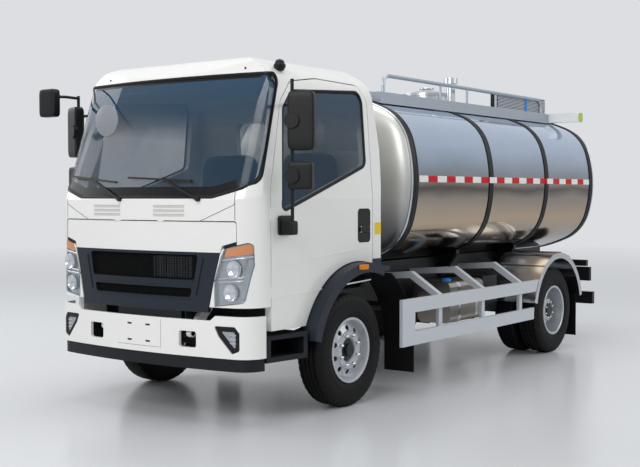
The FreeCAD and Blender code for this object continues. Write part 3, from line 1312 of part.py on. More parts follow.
# Walkway: side plates and a deck on the tank's crown, with a bent handrail along each side.
deck_half = float(size("deck_half"))
crown_z = tank_centre + tank_rise
deck_top = crown_z + float(size("deck_rise"))
deck_start = tank_front + float(size("deck_start"))
deck_end = deck_start + float(size("deck_length"))
rail_top = deck_top + float(size("rail_rise"))
rail_tube = float(size("rail_tube"))
manhole_y = tank_front + float(size("manhole_back"))
manhole_radius = float(size("manhole_radius"))
vent_x, vent_y, vent_radius = 360, manhole_y - 120, 45
deck_low = deck_top - float(size("deck_side"))
deck_plate = 5
walk = [
    slab((side * deck_half - 4, side * deck_half + 4), (deck_start, deck_end), (deck_low, deck_top))
    for side in (1, -1)
]
walk += [
    slab((-deck_half, deck_half), (place, place + 6), (deck_low, deck_top))
    for place in (deck_start, deck_end - 6)
]
deck_holes = [
    Part.makeCylinder(hole, 100, Vector(x, y, deck_top - 60))
    for hole, x, y in ((manhole_radius + 40, 0, manhole_y), (vent_radius + 15, vent_x, vent_y))
]
deck_sheet = slab((-deck_half, deck_half), (deck_start, deck_end), (deck_top - deck_plate, deck_top))
walk.append(deck_sheet.cut(Part.makeCompound(deck_holes)))
rail_spots = (deck_start + 90, deck_end - 175)
post_spots = [deck_start + 1143, deck_start + 1695, deck_start + 2342]


def tube_path(points, bend, radius):
    """A round tube along straight runs in a plane across X, with a bend at each inner corner."""
    runs = []
    spot = points[0]
    for corner, after in zip(points[1:-1], points[2:]):
        into = (corner - spot).normalize()
        out = (after - corner).normalize()
        first, last = corner - into * bend, corner + out * bend
        middle = corner + (out - into).normalize() * bend * (math.sqrt(2) - 1)
        runs += [Part.makeLine(spot, first), Part.Arc(first, middle, last).toShape()]
        spot = last
    runs.append(Part.makeLine(spot, points[-1]))
    ring = Part.Wire(Part.makeCircle(radius, points[0], points[1] - points[0]))
    return Part.Wire(runs).makePipeShell([ring], True, False)


for side in (1, -1):
    rail_x = side * (deck_half - 22)
    corners = [(rail_spots[0], deck_top - 2), (rail_spots[0], rail_top), (rail_spots[1], rail_top),
               (rail_spots[1], deck_top - 2)]
    walk.append(tube_path([Vector(rail_x, y, z) for y, z in corners], 90, rail_tube))
    for spot in post_spots:
        walk.append(Part.makeCylinder(rail_tube * 0.7, rail_top - deck_top + 2,
                                      Vector(rail_x, spot, deck_top - 2)))
hose_rack = slab((deck_half - 125, deck_half - 45), (float(back(4233)), float(back(4910))),
                 (deck_top - 1, rail_top + 10))
walk.append(hose_rack)
deck = walk[0].multiFuse(walk[1:]).cut(oval_prism(tank_front - 10, tank_rear + 10, band_thick + seat_gap))

# Rear ladder: two tubes with rungs between the lamp bar and the sign box.
ladder_tube = float(size("ladder_tube"))
ladder_y = float(tail) - ladder_tube
ladder_x = (-640, -300)
ladder_foot = 740
ladder_head = deck_top - 12
sign_depth = 120
sign_low, sign_high = deck_top - 98, deck_top + 6
sign_face = deck_end + seat_gap + sign_depth
ladder = [
    Part.makeCylinder(13, ladder_x[1] - ladder_x[0], Vector(ladder_x[0], ladder_y, 868 + level * 236),
                      Vector(1, 0, 0))
    for level in range(8)
]
for rail_x in ladder_x:
    ladder.append(Part.makeCylinder(ladder_tube, ladder_head - ladder_foot + 40,
                                    Vector(rail_x, ladder_y, ladder_foot - 20)))
    for start, level in ((rail_end_mm + 50 + seat_gap, ladder_foot), (sign_face + seat_gap, ladder_head)):
        ladder.append(Part.makeCylinder(13, ladder_y - start, Vector(rail_x, start, level),
                                        Vector(0, 1, 0)))
ladder_whole = ladder[0].multiFuse(ladder[1:])
node("walkway", shaped("walkway_all", Part.makeCompound([deck, ladder_whole])))

# Rear sign box: a long box across the tank's crown at the deck's rear end.
tank_hug = oval_prism(tank_front, tank_rear, seat_gap)
sign = slab((-940, 940), (deck_end + seat_gap, sign_face), (sign_low, sign_high)).cut(tank_hug)
node("sign_box", shaped("sign_box_whole", sign))

# Tank fittings: the manhole's neck, the vent pipe beside it and the outlet at the rear.
manhole_top = crown_z + float(size("manhole_rise"))
neck = Part.makeCylinder(manhole_radius, manhole_top - crown_z + 30, Vector(0, manhole_y, crown_z - 30))
neck = neck.cut(Part.makeCylinder(manhole_radius - 8, manhole_top - crown_z + 90,
                                  Vector(0, manhole_y, crown_z - 60)))
collar = Part.makeCylinder(manhole_radius + 22, 14, Vector(0, manhole_y, manhole_top - 14)).cut(
    Part.makeCylinder(manhole_radius - 8, 60, Vector(0, manhole_y, manhole_top - 30)))
hinge_back = manhole_y + manhole_radius + 50
lid_hinge_z = manhole_top + 16
lid_pin_radius = 8
lid_lugs = []
for side in (1, -1):
    lug = slab((side * 60 - 8, side * 60 + 8), (hinge_back - 16, hinge_back + 16),
               (manhole_top - 14, lid_hinge_z + 16))
    lug_foot = slab((side * 60 - 8, side * 60 + 8), (manhole_y + manhole_radius + 4, hinge_back + 16),
                    (manhole_top - 14, manhole_top - 1))
    pin_hole = Part.makeCylinder(lid_pin_radius + float(size("stub_gap")), 40,
                                 Vector(side * 60 - 20, hinge_back, lid_hinge_z), Vector(1, 0, 0))
    lid_lugs.append(lug.fuse(lug_foot).cut(pin_hole))


def biggest(shape):
    """The main solid of a shape that was cut into several."""
    return max(shape.Solids, key=lambda piece: piece.Volume)


manhole_neck = biggest(neck.multiFuse([collar] + lid_lugs).cut(tank_hug))
vent = Part.makeCylinder(vent_radius, 270, Vector(vent_x, vent_y, crown_z - 40))
vent_cap = Part.makeCylinder(70, 60, Vector(vent_x, vent_y, crown_z + 230))
vent_pipe = biggest(vent.fuse(vent_cap).cut(tank_hug))
outlet_z = tank_centre - tank_rise + 190
outlet_face = tank_rear + dome + 14
outlet_radius = 38
bolt_ring = 70
outlet = Part.makeCylinder(outlet_radius + 6, outlet_face - tank_rear, Vector(0, tank_rear, outlet_z),
                           Vector(0, 1, 0))
flange = Part.makeCylinder(90, 16, Vector(0, outlet_face - 16, outlet_z), Vector(0, 1, 0))
outlet_depth = 40
outlet_cuts = [Part.makeCylinder(outlet_radius, outlet_depth + 10,
                                 Vector(0, outlet_face - outlet_depth, outlet_z),
                                 Vector(0, 1, 0))]
for number in range(4):
    turn = math.radians(45 + 90 * number)
    outlet_cuts.append(Part.makeCylinder(
        9, 40, Vector(bolt_ring * math.cos(turn), outlet_face - 30, outlet_z + bolt_ring * math.sin(turn)),
        Vector(0, 1, 0)))
outlet_pipe = biggest(outlet.fuse(flange).cut(Part.makeCompound(outlet_cuts)).cut(tank_body))
node("tank_fittings", shaped("tank_fittings_all", Part.makeCompound([manhole_neck, vent_pipe,
                                                                     outlet_pipe])))

# Manhole lid: a shallow domed cover on a hinge pin behind the neck.
lid_low = manhole_top + 0.3
lid = Part.makeCylinder(manhole_radius + 22, 12, Vector(0, manhole_y, lid_low))
lid_crown = Part.makeCone(manhole_radius - 10, manhole_radius - 120, 34, Vector(0, manhole_y, lid_low + 11))
lid_arm = slab((-40, 40), (manhole_y + manhole_radius - 40, hinge_back), (lid_low + 1, lid_low + 30))
lid_knuckle = Part.makeCylinder(18, 90, Vector(-45, hinge_back, lid_hinge_z), Vector(1, 0, 0))
lid_pin = Part.makeCylinder(lid_pin_radius, 160, Vector(-80, hinge_back, lid_hinge_z), Vector(1, 0, 0))
lid_wheel = Part.makeTorus(70, 9, Vector(0, manhole_y, lid_low + 75), Vector(0, 0, 1))
lid_post = Part.makeCylinder(12, 40, Vector(0, manhole_y, lid_low + 40))
lid_spokes = [Part.makeCylinder(8, 140, Vector(-70, manhole_y, lid_low + 75), Vector(1, 0, 0)),
              Part.makeCylinder(8, 140, Vector(0, manhole_y - 70, lid_low + 75), Vector(0, 1, 0))]
manhole_lid = lid.multiFuse([lid_crown, lid_arm, lid_knuckle, lid_pin, lid_wheel, lid_post] + lid_spokes)
node("manhole_lid", shaped("manhole_lid_whole", manhole_lid))

doc.recompute()
for thing in doc.Objects:
    if "Invalid" in thing.State or "Error" in thing.State:
        raise RuntimeError(f"{thing.Name} did not build: {thing.State}")
os.makedirs("parts", exist_ok=True)
for thing in nodes:
    if thing.Shape.isNull() or not thing.Shape.isValid():
        raise RuntimeError(f"{thing.Label} has no valid shape")
for thing in nodes:
    thing.Shape.exportStep(f"parts/{thing.Label}.step")
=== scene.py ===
import math

import bmesh
import bpy
import numpy as np
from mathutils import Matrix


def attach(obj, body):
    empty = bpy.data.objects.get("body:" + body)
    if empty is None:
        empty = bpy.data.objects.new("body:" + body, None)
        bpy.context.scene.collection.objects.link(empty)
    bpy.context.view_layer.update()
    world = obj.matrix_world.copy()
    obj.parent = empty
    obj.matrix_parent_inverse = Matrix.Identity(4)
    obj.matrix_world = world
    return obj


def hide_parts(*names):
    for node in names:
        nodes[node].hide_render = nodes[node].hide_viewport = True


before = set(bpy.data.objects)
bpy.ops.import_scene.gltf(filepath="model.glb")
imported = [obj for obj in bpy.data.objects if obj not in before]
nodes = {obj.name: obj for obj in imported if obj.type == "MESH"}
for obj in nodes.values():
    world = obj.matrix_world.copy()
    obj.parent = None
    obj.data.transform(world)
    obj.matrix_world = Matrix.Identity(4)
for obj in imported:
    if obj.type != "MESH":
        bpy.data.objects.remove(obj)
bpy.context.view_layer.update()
scene = bpy.context.scene
scene.view_settings.view_transform = "Standard"

# Camera: it stands where the photographer stood, 1.7 m above the road, ahead of the left front
# corner. The place and the lens were worked out from the wheels, lamps and door lines.
EYE = (5.977, -9.109, 1.692)
TURN, NOD, ROLL = 36.214, -2.088, -0.114
LENS_MM, SENSOR_MM = 60.85, 36.0

camera_data = bpy.data.cameras.new("photo_camera")
camera_data.lens = LENS_MM
camera_data.sensor_width = SENSOR_MM
camera_data.clip_end = 200.0
camera = bpy.data.objects.new("photo_camera", camera_data)
camera.location = EYE
camera.rotation_euler = (math.radians(90 + NOD), math.radians(-ROLL), math.radians(TURN))
scene.collection.objects.link(camera)
scene.camera = camera


# Light: a plain studio of large soft lamps over a pale floor, as in a catalogue picture.
# Camera and mirror rays see a pale backdrop, while the lamps alone set how bright things are.
BACKDROP = "#DCDEE1"
LAMPS = (  # name, place, the point it faces, width, height, watts
    ("key_lamp", (2.0, -11.5, 6.5), (0.0, -2.0, 1.2), 6.0, 5.0, 490),
    ("side_lamp", (9.0, 3.5, 6.0), (0.6, 1.0, 1.2), 7.0, 4.0, 230),
    ("top_lamp", (0.0, 0.0, 9.5), (0.0, 0.0, 1.0), 6.0, 9.0, 300),
    ("far_lamp", (-8.5, -3.0, 6.0), (-0.5, 0.0, 1.2), 6.0, 5.0, 260))


def linear(hex_colour):
    """A linear colour with alpha from an sRGB hex value."""
    parts = np.array([int(hex_colour[place:place + 2], 16) for place in (1, 3, 5)]) / 255
    parts = np.where(parts <= 0.04045, parts / 12.92, ((parts + 0.055) / 1.055) ** 2.4)
    return (*parts.tolist(), 1.0)


def add_node(tree, kind, links=(), **settings):
    """Add a shader node: settings are its sockets or properties, links join its inputs to outputs."""
    made = tree.nodes.new(kind)
    for name, value in settings.items():
        if hasattr(made, name):
            setattr(made, name, value)
        else:
            made.inputs[name.replace("_", " ")].default_value = value
    for socket, source in dict(links).items():
        tree.links.new(source, made.inputs[socket])
    return made


world = bpy.data.worlds.new("studio")
world.use_nodes = True
scene.world = world
sky = world.node_tree
sky.nodes.clear()
rays = add_node(sky, "ShaderNodeLightPath")
seen = add_node(sky, "ShaderNodeMath", {0: rays.outputs["Is Camera Ray"], 1: rays.outputs["Is Glossy Ray"]},
                operation="MAXIMUM")
seen = add_node(sky, "ShaderNodeMath", {0: seen.outputs[0], 1: rays.outputs["Is Transmission Ray"]},
                operation="MAXIMUM")
ambient = add_node(sky, "ShaderNodeBackground", Color=linear("#E9EDF2"), Strength=0.62)
backdrop = add_node(sky, "ShaderNodeBackground", Color=linear(BACKDROP), Strength=1.0)
mixed = add_node(
    sky, "ShaderNodeMixShader", {0: seen.outputs[0], 1: ambient.outputs[0], 2: backdrop.outputs[0]})
add_node(sky, "ShaderNodeOutputWorld", {"Surface": mixed.outputs[0]})


for name, place, aim, width, height, watts in LAMPS:
    data = bpy.data.lights.new(name, "AREA")
    data.shape = "RECTANGLE"
    data.size, data.size_y = width, height
    data.energy = watts
    lamp = bpy.data.objects.new(name, data)
    way = np.array(place) - np.array(aim)
    lamp.location = place
    lamp.rotation_euler = (math.atan2(math.hypot(way[0], way[1]), way[2]), 0.0, math.atan2(way[0], -way[1]))
    scene.collection.objects.link(lamp)


# Floor: a smooth pale studio floor with a faint polish. Seen by the camera, it fades into the
# backdrop from 7 m out, so that no edge shows.
FLOOR_HALF, FADE_START, FADE_END = 60.0, 7.0, 26.0

floor_mesh = bpy.data.meshes.new("studio_floor")
floor_mesh.from_pydata([
    (-FLOOR_HALF, -FLOOR_HALF, 0), (FLOOR_HALF, -FLOOR_HALF, 0), (FLOOR_HALF, FLOOR_HALF, 0),
    (-FLOOR_HALF, FLOOR_HALF, 0)], [], [(0, 1, 2, 3)])
floor = bpy.data.objects.new("studio_floor", floor_mesh)
scene.collection.objects.link(floor)
floor_paint = bpy.data.materials.new("studio_floor_paint")
floor_paint.use_nodes = True
tree = floor_paint.node_tree
surface = tree.nodes["Principled BSDF"]
surface.inputs["Base Color"].default_value = linear("#D3D4D6")
surface.inputs["Roughness"].default_value = 0.22
surface.inputs["Specular IOR Level"].default_value = 0.35
spot = add_node(tree, "ShaderNodeTexCoord")
reach = add_node(tree, "ShaderNodeVectorMath", {0: spot.outputs["Object"]}, operation="LENGTH")
fade = add_node(
    tree, "ShaderNodeMapRange", {"Value": reach.outputs["Value"]}, From_Min=FADE_START, From_Max=FADE_END)
rays = add_node(tree, "ShaderNodeLightPath")
faded = add_node(
    tree, "ShaderNodeMath", {0: fade.outputs[0], 1: rays.outputs["Is Camera Ray"]}, operation="MULTIPLY")
far_floor = add_node(tree, "ShaderNodeEmission", Color=linear(BACKDROP), Strength=1.0)
blend = add_node(
    tree, "ShaderNodeMixShader", {0: faded.outputs[0], 1: surface.outputs[0], 2: far_floor.outputs[0]})
tree.links.new(blend.outputs[0], tree.nodes["Material Output"].inputs["Surface"])
floor_mesh.materials.append(floor_paint)


# Cab paint: acrylic enamel sprayed on pressed steel, baked and polished: a warm white with an
# even gloss. The cab, doors, service panel, bumper and the rear sign box have it.
def finish(name, hex_colour, roughness, metallic=0.0, grain_mm=4.0, tone=0.06, uneven=0.08, bump_mm=0.0,
           stretch=(1, 1, 1), **sockets):
    """A finished material: its colour and roughness wander by a noise of one grain size.

    tone is how far the colour darkens, uneven how far the roughness moves, bump_mm how deep the
    grain is, and stretch draws the grain out along an axis.
    """
    material = bpy.data.materials.new(name)
    material.use_nodes = True
    tree = material.node_tree
    shader = tree.nodes["Principled BSDF"]
    shader.inputs["Metallic"].default_value = metallic
    for socket, value in sockets.items():
        shader.inputs[socket.replace("_", " ")].default_value = value
    place = add_node(tree, "ShaderNodeTexCoord")
    drawn = add_node(tree, "ShaderNodeMapping", {"Vector": place.outputs["Object"]}, Scale=stretch)
    grain = add_node(
        tree, "ShaderNodeTexNoise", {"Vector": drawn.outputs[0]}, Scale=1000 / grain_mm, Detail=4.0)
    base = np.array(linear(hex_colour)[:3])
    colour = add_node(tree, "ShaderNodeMix", {0: grain.outputs["Fac"]}, data_type="RGBA")
    colour.inputs[6].default_value = (*(base * (1 - tone)), 1.0)
    colour.inputs[7].default_value = (*np.minimum(base * (1 + tone), 1.0), 1.0)
    gloss = add_node(tree, "ShaderNodeMapRange", {"Value": grain.outputs["Fac"]},
                     To_Min=max(0.02, roughness - uneven), To_Max=min(1.0, roughness + uneven))
    tree.links.new(colour.outputs[2], shader.inputs["Base Color"])
    tree.links.new(gloss.outputs[0], shader.inputs["Roughness"])
    if bump_mm:
        relief = add_node(
            tree, "ShaderNodeBump", {"Height": grain.outputs["Fac"]}, Strength=1.0, Distance=bump_mm / 1000)
        tree.links.new(relief.outputs[0], shader.inputs["Normal"])
    return material


def coat(material, *names):
    """Give CAD nodes a finish in place of the plain one that they came with."""
    for name in names:
        nodes[name].data.materials.clear()
        nodes[name].data.materials.append(material)


white_enamel = finish(
    "white_acrylic_enamel", "#E9E8E4", 0.2, grain_mm=900, tone=0.02, uneven=0.04, Coat_Weight=0.6,
    Coat_Roughness=0.05)
coat(white_enamel, "cab_shell", "door_left", "door_right", "front_panel", "front_bumper")


# Moulded trim: the grille, wheel arches and steps are grained polypropylene, a blue-black that
# shows a soft sheen; the mirrors, wipers and steering wheel are the same stuff in plain black.
navy_trim = finish(
    "navy_polypropylene", "#161D29", 0.46, grain_mm=1.6, tone=0.1, bump_mm=0.15, Specular_IOR_Level=0.35)
black_trim = finish(
    "black_polypropylene", "#08090A", 0.45, grain_mm=1.6, tone=0.12, bump_mm=0.12, Specular_IOR_Level=0.3)
step_black = finish(
    "step_polypropylene", "#0D1118", 0.5, grain_mm=1.6, tone=0.12, bump_mm=0.15, Specular_IOR_Level=0.3)
coat(navy_trim, "grille", "cab_arches")
coat(step_black, "skirt_and_steps")
coat(black_trim, "mirror_left", "mirror_right", "wipers", "steering_wheel")

# Chassis: hot-rolled steel channels under a thin semi-gloss black enamel, dulled by road dust.
# Castings such as the engine, axles and knuckles are rougher and browner.
chassis_enamel = finish(
    "chassis_enamel", "#0D0F12", 0.42, grain_mm=28, tone=0.25, uneven=0.14, Specular_IOR_Level=0.35)
cast_metal = finish("cast_grey_iron", "#2A2A2B", 0.62, metallic=0.6, grain_mm=3, tone=0.2, bump_mm=0.5)
coat(chassis_enamel, "frame", "rear_bars", "tank_saddles", "frame_boxes", "exhaust", "drive_shaft",
     "leaf_springs")
coat(cast_metal, "engine", "front_axle", "rear_axle", "knuckle_left", "knuckle_right")

# Rubber: the mudflaps are moulded carbon-black sheet, matt with a faint bloom, screwed to the
# guards.
black_rubber = finish(
    "carbon_black_rubber", "#08080A", 0.75, grain_mm=9, tone=0.2, uneven=0.1, Specular_IOR_Level=0.2)
coat(black_rubber, "mudflaps")

# Bright sheet: the rear mudguards, the tank's fittings and its lid are stainless steel, rolled
# or spun and polished.
bright_steel = finish(
    "polished_stainless", "#C9CCD0", 0.2, metallic=1.0, grain_mm=3, tone=0.05, uneven=0.07,
    stretch=(0.15, 1, 1))
coat(bright_steel, "rear_mudguards", "tank_fittings", "manhole_lid")

# Aluminium: the side guards are extruded, with a silver-white powder coat. The radiator's core
# and the fuel tank are bare, rolled thin.
silver_coat = finish(
    "silver_powder_coat", "#C6CACF", 0.42, metallic=0.25, grain_mm=0.9, tone=0.05, bump_mm=0.05)
coat(silver_coat, "side_guards")
radiator_fins = finish(
    "radiator_core", "#4A4C4F", 0.5, metallic=0.7, grain_mm=6, tone=0.5, stretch=(6, 1, 0.15))
fuel_sheet = finish(
    "mill_finish_aluminium", "#A9A39A", 0.3, metallic=1.0, grain_mm=4, tone=0.1, stretch=(1, 0.1, 1))
coat(radiator_fins, "radiator")
coat(fuel_sheet, "fuel_tank")

# Cab trim: the dashboard is a soft-skinned moulding, blue-grey with a leather grain, screwed
# to the bulkhead.
dash_skin = finish("dashboard_skin", "#4C5866", 0.6, grain_mm=1.2, tone=0.12, bump_mm=0.15)
coat(dash_skin, "dashboard")


# Tyres: radial truck tyres of black rubber, moulded with four zigzag grooves, notched shoulders
# and ribbed side walls. They sit on the rims; the rear pairs run as twins on one hub.
FRONT_AXLE_Y, REAR_AXLE_Y, WHEEL_Z = -2.045, 1.655, 0.45
FRONT_WHEEL_X, OUTER_WHEEL_X, INNER_WHEEL_X = 1.004, 1.08, 0.81
TYRE_RADIUS, BEAD_RADIUS, TREAD_HALF = 0.4498, 0.2478, 0.0895
GROOVE_DEPTH, GROOVE_HALF, GROOVE_FLOOR, ZIGZAG, NOTCH_DEPTH = 0.011, 0.0048, 0.003, 0.0042, 0.008
GROOVE_LINES, TREAD_CROWN = np.array([-0.0595, -0.02, 0.02, 0.0595]), 0.004
TREAD_BLOCKS, STEPS_A_BLOCK, NOTCH_STEPS = 46, 10, 3
TYRE_SIDE = np.array([  # x, radius: from the shoulder down the wall to the bead
    (TREAD_HALF - 0.006, TYRE_RADIUS - 0.0035), (TREAD_HALF, TYRE_RADIUS - 0.0045), (0.0985, 0.433),
    (0.105, 0.417), (0.1085, 0.406), (0.1125, 0.396), (0.1125, 0.39), (0.115, 0.388), (0.1172, 0.356),
    (0.1172, 0.34), (0.115, 0.32), (0.1162, 0.316), (0.115, 0.312), (0.1105, 0.296), (0.104, 0.278),
    (0.096, 0.266), (0.095, 0.26), (0.0905, 0.256), (0.0905, BEAD_RADIUS)])
SIDES = (("left", 1), ("right", -1))


def quads(rows, columns, close_rows=False, close_columns=False):
    """Quad corners over a grid of points; a closed way joins its last line to its first."""
    down = np.arange(rows if close_rows else rows - 1)
    across = np.arange(columns if close_columns else columns - 1)
    row, column = np.meshgrid(down, across, indexing="ij")
    below, beside = (row + 1) % rows, (column + 1) % columns
    corners = (row * columns + column, row * columns + beside, below * columns + beside,
               below * columns + column)
    return np.stack([corner.ravel() for corner in corners], axis=1)


def grid_part(points, close_rows=False, close_columns=False, flip=False):
    """A grid of points, rows by columns by 3, as (points, faces)."""
    rows, columns = points.shape[:2]
    faces = quads(rows, columns, close_rows, close_columns)
    return points.reshape(-1, 3), faces[:, ::-1] if flip else faces


def joined(parts):
    """Several (points, faces) parts as one."""
    starts = np.cumsum([0] + [len(points) for points, _ in parts])
    return (np.concatenate([points for points, _ in parts]),
            np.concatenate([faces + start for (_, faces), start in zip(parts, starts)]))


def piece(name, part, material, body, sharp_deg=32):
    """A finished mesh piece: its points welded, its material, and the body that it rides on."""
    points, faces = part
    mesh = bpy.data.meshes.new(name)
    mesh.from_pydata(points.tolist(), [], faces.tolist())
    welded = bmesh.new()
    welded.from_mesh(mesh)
    bmesh.ops.remove_doubles(welded, verts=welded.verts, dist=2e-5)
    bmesh.ops.recalc_face_normals(welded, faces=welded.faces)
    welded.to_mesh(mesh)
    welded.free()
    mesh.polygons.foreach_set("use_smooth", np.ones(len(mesh.polygons), dtype=bool))
    mesh.set_sharp_from_angle(angle=math.radians(sharp_deg))
    mesh.materials.append(material)
    made = bpy.data.objects.new(name, mesh)
    scene.collection.objects.link(made)
    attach(made, body)
    return made


def moved(part, shift=(0, 0, 0), scale=(1, 1, 1)):
    """A part scaled and shifted; a mirror turns its faces round so that they still point out."""
    points, faces = part
    return points * np.array(scale) + np.array(shift), faces[:, ::-1] if np.prod(scale) < 0 else faces


def tyre_part(centre):
    """A tyre: its profile of (x, radius) is carried round the axle.

    Tread points swing sideways by a triangle wave of the angle, groove points lie lower, and the
    shoulder's edge drops at each notch.
    """
    offsets = np.array([-GROOVE_HALF, -GROOVE_FLOOR, GROOVE_FLOOR, GROOVE_HALF])
    tread_x = (GROOVE_LINES[:, None] + offsets).ravel()
    tread_drop = np.tile([0.0, GROOVE_DEPTH, GROOVE_DEPTH, 0.0], len(GROOVE_LINES))
    mirror = TYRE_SIDE[::-1] * np.array([-1, 1])
    across = np.concatenate([mirror[:, 0], tread_x, TYRE_SIDE[:, 0]])
    tread_radius = TYRE_RADIUS - TREAD_CROWN * (tread_x / TREAD_HALF) ** 2 - tread_drop
    radius = np.concatenate([mirror[:, 1], tread_radius, TYRE_SIDE[:, 1]])
    count = TREAD_BLOCKS * STEPS_A_BLOCK
    turn = np.linspace(0, 2 * np.pi, count, endpoint=False)
    step = np.arange(count) % STEPS_A_BLOCK
    swing = ZIGZAG * (4 * np.abs(step / STEPS_A_BLOCK - 0.5) - 1)
    swings = np.zeros(len(across))
    swings[len(mirror):len(mirror) + len(tread_x)] = 1.0
    notched = np.zeros(len(across))
    first, last = len(mirror), len(across) - len(TYRE_SIDE)
    notched[[first - 2, first - 3, last + 1, last + 2]] = 1.0
    low = (step < NOTCH_STEPS).astype(float)
    x = across[None, :] + swings[None, :] * swing[:, None]
    r = radius[None, :] - notched[None, :] * low[:, None] * NOTCH_DEPTH
    grid = np.stack([centre[0] + x, centre[1] + r * np.sin(turn)[:, None],
                     centre[2] + r * np.cos(turn)[:, None]], axis=2)
    return grid_part(grid, close_rows=True, close_columns=True, flip=True)


tyre_rubber = finish(
    "tyre_rubber", "#060607", 0.6, grain_mm=7, tone=0.25, uneven=0.1, bump_mm=0.25, Specular_IOR_Level=0.2)
for side_word, sign in SIDES:
    front_tyre = piece(
        f"front_tyre_{side_word}_moulded", tyre_part((sign * FRONT_WHEEL_X, FRONT_AXLE_Y, WHEEL_Z)),
        tyre_rubber, f"front_wheel_{side_word}")
    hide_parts(f"front_tyre_{side_word}")
    twins = joined([
        tyre_part((sign * across, REAR_AXLE_Y, WHEEL_Z)) for across in (OUTER_WHEEL_X, INNER_WHEEL_X)])
    rear_tyres = piece(
        f"rear_tyres_{side_word}_moulded", twins, tyre_rubber, f"rear_wheels_{side_word}")
    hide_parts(f"rear_tyres_{side_word}")


# Wheels: pressed steel rims sprayed silver. The front discs bulge out and the outer rear discs
# are dished in; ten round hand holes go through each, and chromed domed nuts hold it.
LIP_RADIUS, SEAT_RADIUS, RIM_EDGE = 0.2615, 0.2475, 0.1075
HOLE_CIRCLE, HOLE_RADIUS, DISC_INNER = 0.175, 0.0215, 0.148
HOLE_COUNT, NUT_COUNT, EDGE_STEPS = 10, 8, 8
WHEEL_STEPS = EDGE_STEPS * HOLE_COUNT
ORIGIN = (0, 0, 0)
# The flanges and seats that both rims share, (x, radius) from the outer side to the inner.
RIM_FLANGES = [
    (RIM_EDGE, 0.243), (RIM_EDGE, 0.259), (0.105, LIP_RADIUS), (0.0975, LIP_RADIUS), (0.0955, 0.257),
    (0.0955, SEAT_RADIUS), (-0.0955, SEAT_RADIUS), (-0.0955, 0.257), (-0.0975, LIP_RADIUS),
    (-0.105, LIP_RADIUS), (-RIM_EDGE, 0.259), (-RIM_EDGE, 0.24)]
# A wheel is its rim and pad, (x, radius), and its disc's face and back, (radius, x).
BULGING_WHEEL = dict(
    rim=[(0.048, 0.2255), (0.056, 0.229), (0.09, 0.236), (0.103, 0.238), *RIM_FLANGES, (-0.04, 0.23),
         (0.036, 0.2255)],
    pad=[(0.07, 0.148), (0.062, 0.118), (-0.044, 0.118), (-0.044, 0.0365), (0.062, 0.0365),
         (0.062, 0.086), (0.08, 0.098), (0.084, 0.101), (0.084, 0.148)],
    face=[(DISC_INNER, 0.084), (0.1525, 0.0745), (0.2255, 0.048)],
    back=[(DISC_INNER, 0.07), (0.1525, 0.06), (0.2255, 0.036)], pad_flip=True)
DISHED_WHEEL = dict(
    rim=[(-0.052, 0.2135), (-0.03, 0.221), (0.09, 0.2345), (0.103, 0.237), *RIM_FLANGES, (-0.064, 0.2135)],
    pad=[(-0.1345, 0.148), (-0.1345, 0.098), (-0.04, 0.086), (-0.04, 0.0365), (0.044, 0.0365),
         (0.044, 0.106), (0.038, 0.118), (-0.105, 0.118), (-0.116, 0.124), (-0.121, 0.148)],
    face=[(DISC_INNER, -0.121), (0.1525, -0.079), (0.2135, -0.052)],
    back=[(DISC_INNER, -0.1345), (0.1525, -0.092), (0.2135, -0.064)], pad_flip=False)
NUT_CROWN = [(0.0, 0.0), (0.0, 1.0), (0.42, 1.0), (0.62, 0.92), (1.05, 0.8), (1.5, 0.62), (1.75, 0.36),
             (1.84, 0.0)]
# Nuts stand on a circle, their feet at face_x from the wheel's middle plane.
FRONT_NUTS = dict(face_x=0.0838, circle=0.1235, size=0.0165)
REAR_NUTS = dict(face_x=0.0438, circle=0.086, size=0.0125)
DRUM = [(-0.02, 0.119), (-0.02, 0.205), (0.02, 0.205), (0.028, 0.198), (0.028, 0.119)]
HUB_CAP = [(0.061, 0.0), (0.061, 0.086), (0.07, 0.085), (0.076, 0.078), (0.078, 0.056), (0.098, 0.053),
           (0.102, 0.048), (0.103, 0.0)]
HUB_FLANGE = [(0.0438, 0.0), (0.0438, 0.07), (0.056, 0.07), (0.06, 0.065), (0.06, 0.0)]


def lathe(profile, count=96, centre=ORIGIN, closed=False, flip=False):
    """Points (x, radius) turned about a line along X through the centre."""
    profile = np.asarray(profile, float)
    turn = np.linspace(0, 2 * np.pi, count, endpoint=False)[:, None]
    across = np.broadcast_to(profile[:, 0], (count, len(profile)))
    grid = np.stack([centre[0] + across, centre[1] + profile[:, 1] * np.sin(turn),
                     centre[2] + profile[:, 1] * np.cos(turn)], axis=2)
    return grid_part(grid, close_rows=True, close_columns=closed, flip=not flip)


def sector_edges(outer):
    """One hand hole's edge and the sides of its sector of the disc, as turns and radii point by point."""
    walk, side = np.linspace(-1, 1, EDGE_STEPS + 1)[:-1], np.ones(EDGE_STEPS)
    edge = np.concatenate([
        np.stack([walk, -side], 1), np.stack([side, walk], 1), np.stack([-walk, side], 1),
        np.stack([-side, -walk], 1)])
    side_turn = edge[:, 0] * (np.pi / HOLE_COUNT)
    side_radius = np.where(edge[:, 1] < 0, DISC_INNER, outer) * (np.abs(edge[:, 1]) == 1) + \
        (np.abs(edge[:, 1]) != 1) * (DISC_INNER + (edge[:, 1] + 1) / 2 * (outer - DISC_INNER))
    angle = np.arctan2(side_radius - HOLE_CIRCLE, side_turn * HOLE_CIRCLE)
    hole_turn = HOLE_RADIUS * np.cos(angle) / HOLE_CIRCLE
    return hole_turn, HOLE_CIRCLE + HOLE_RADIUS * np.sin(angle), side_turn, side_radius


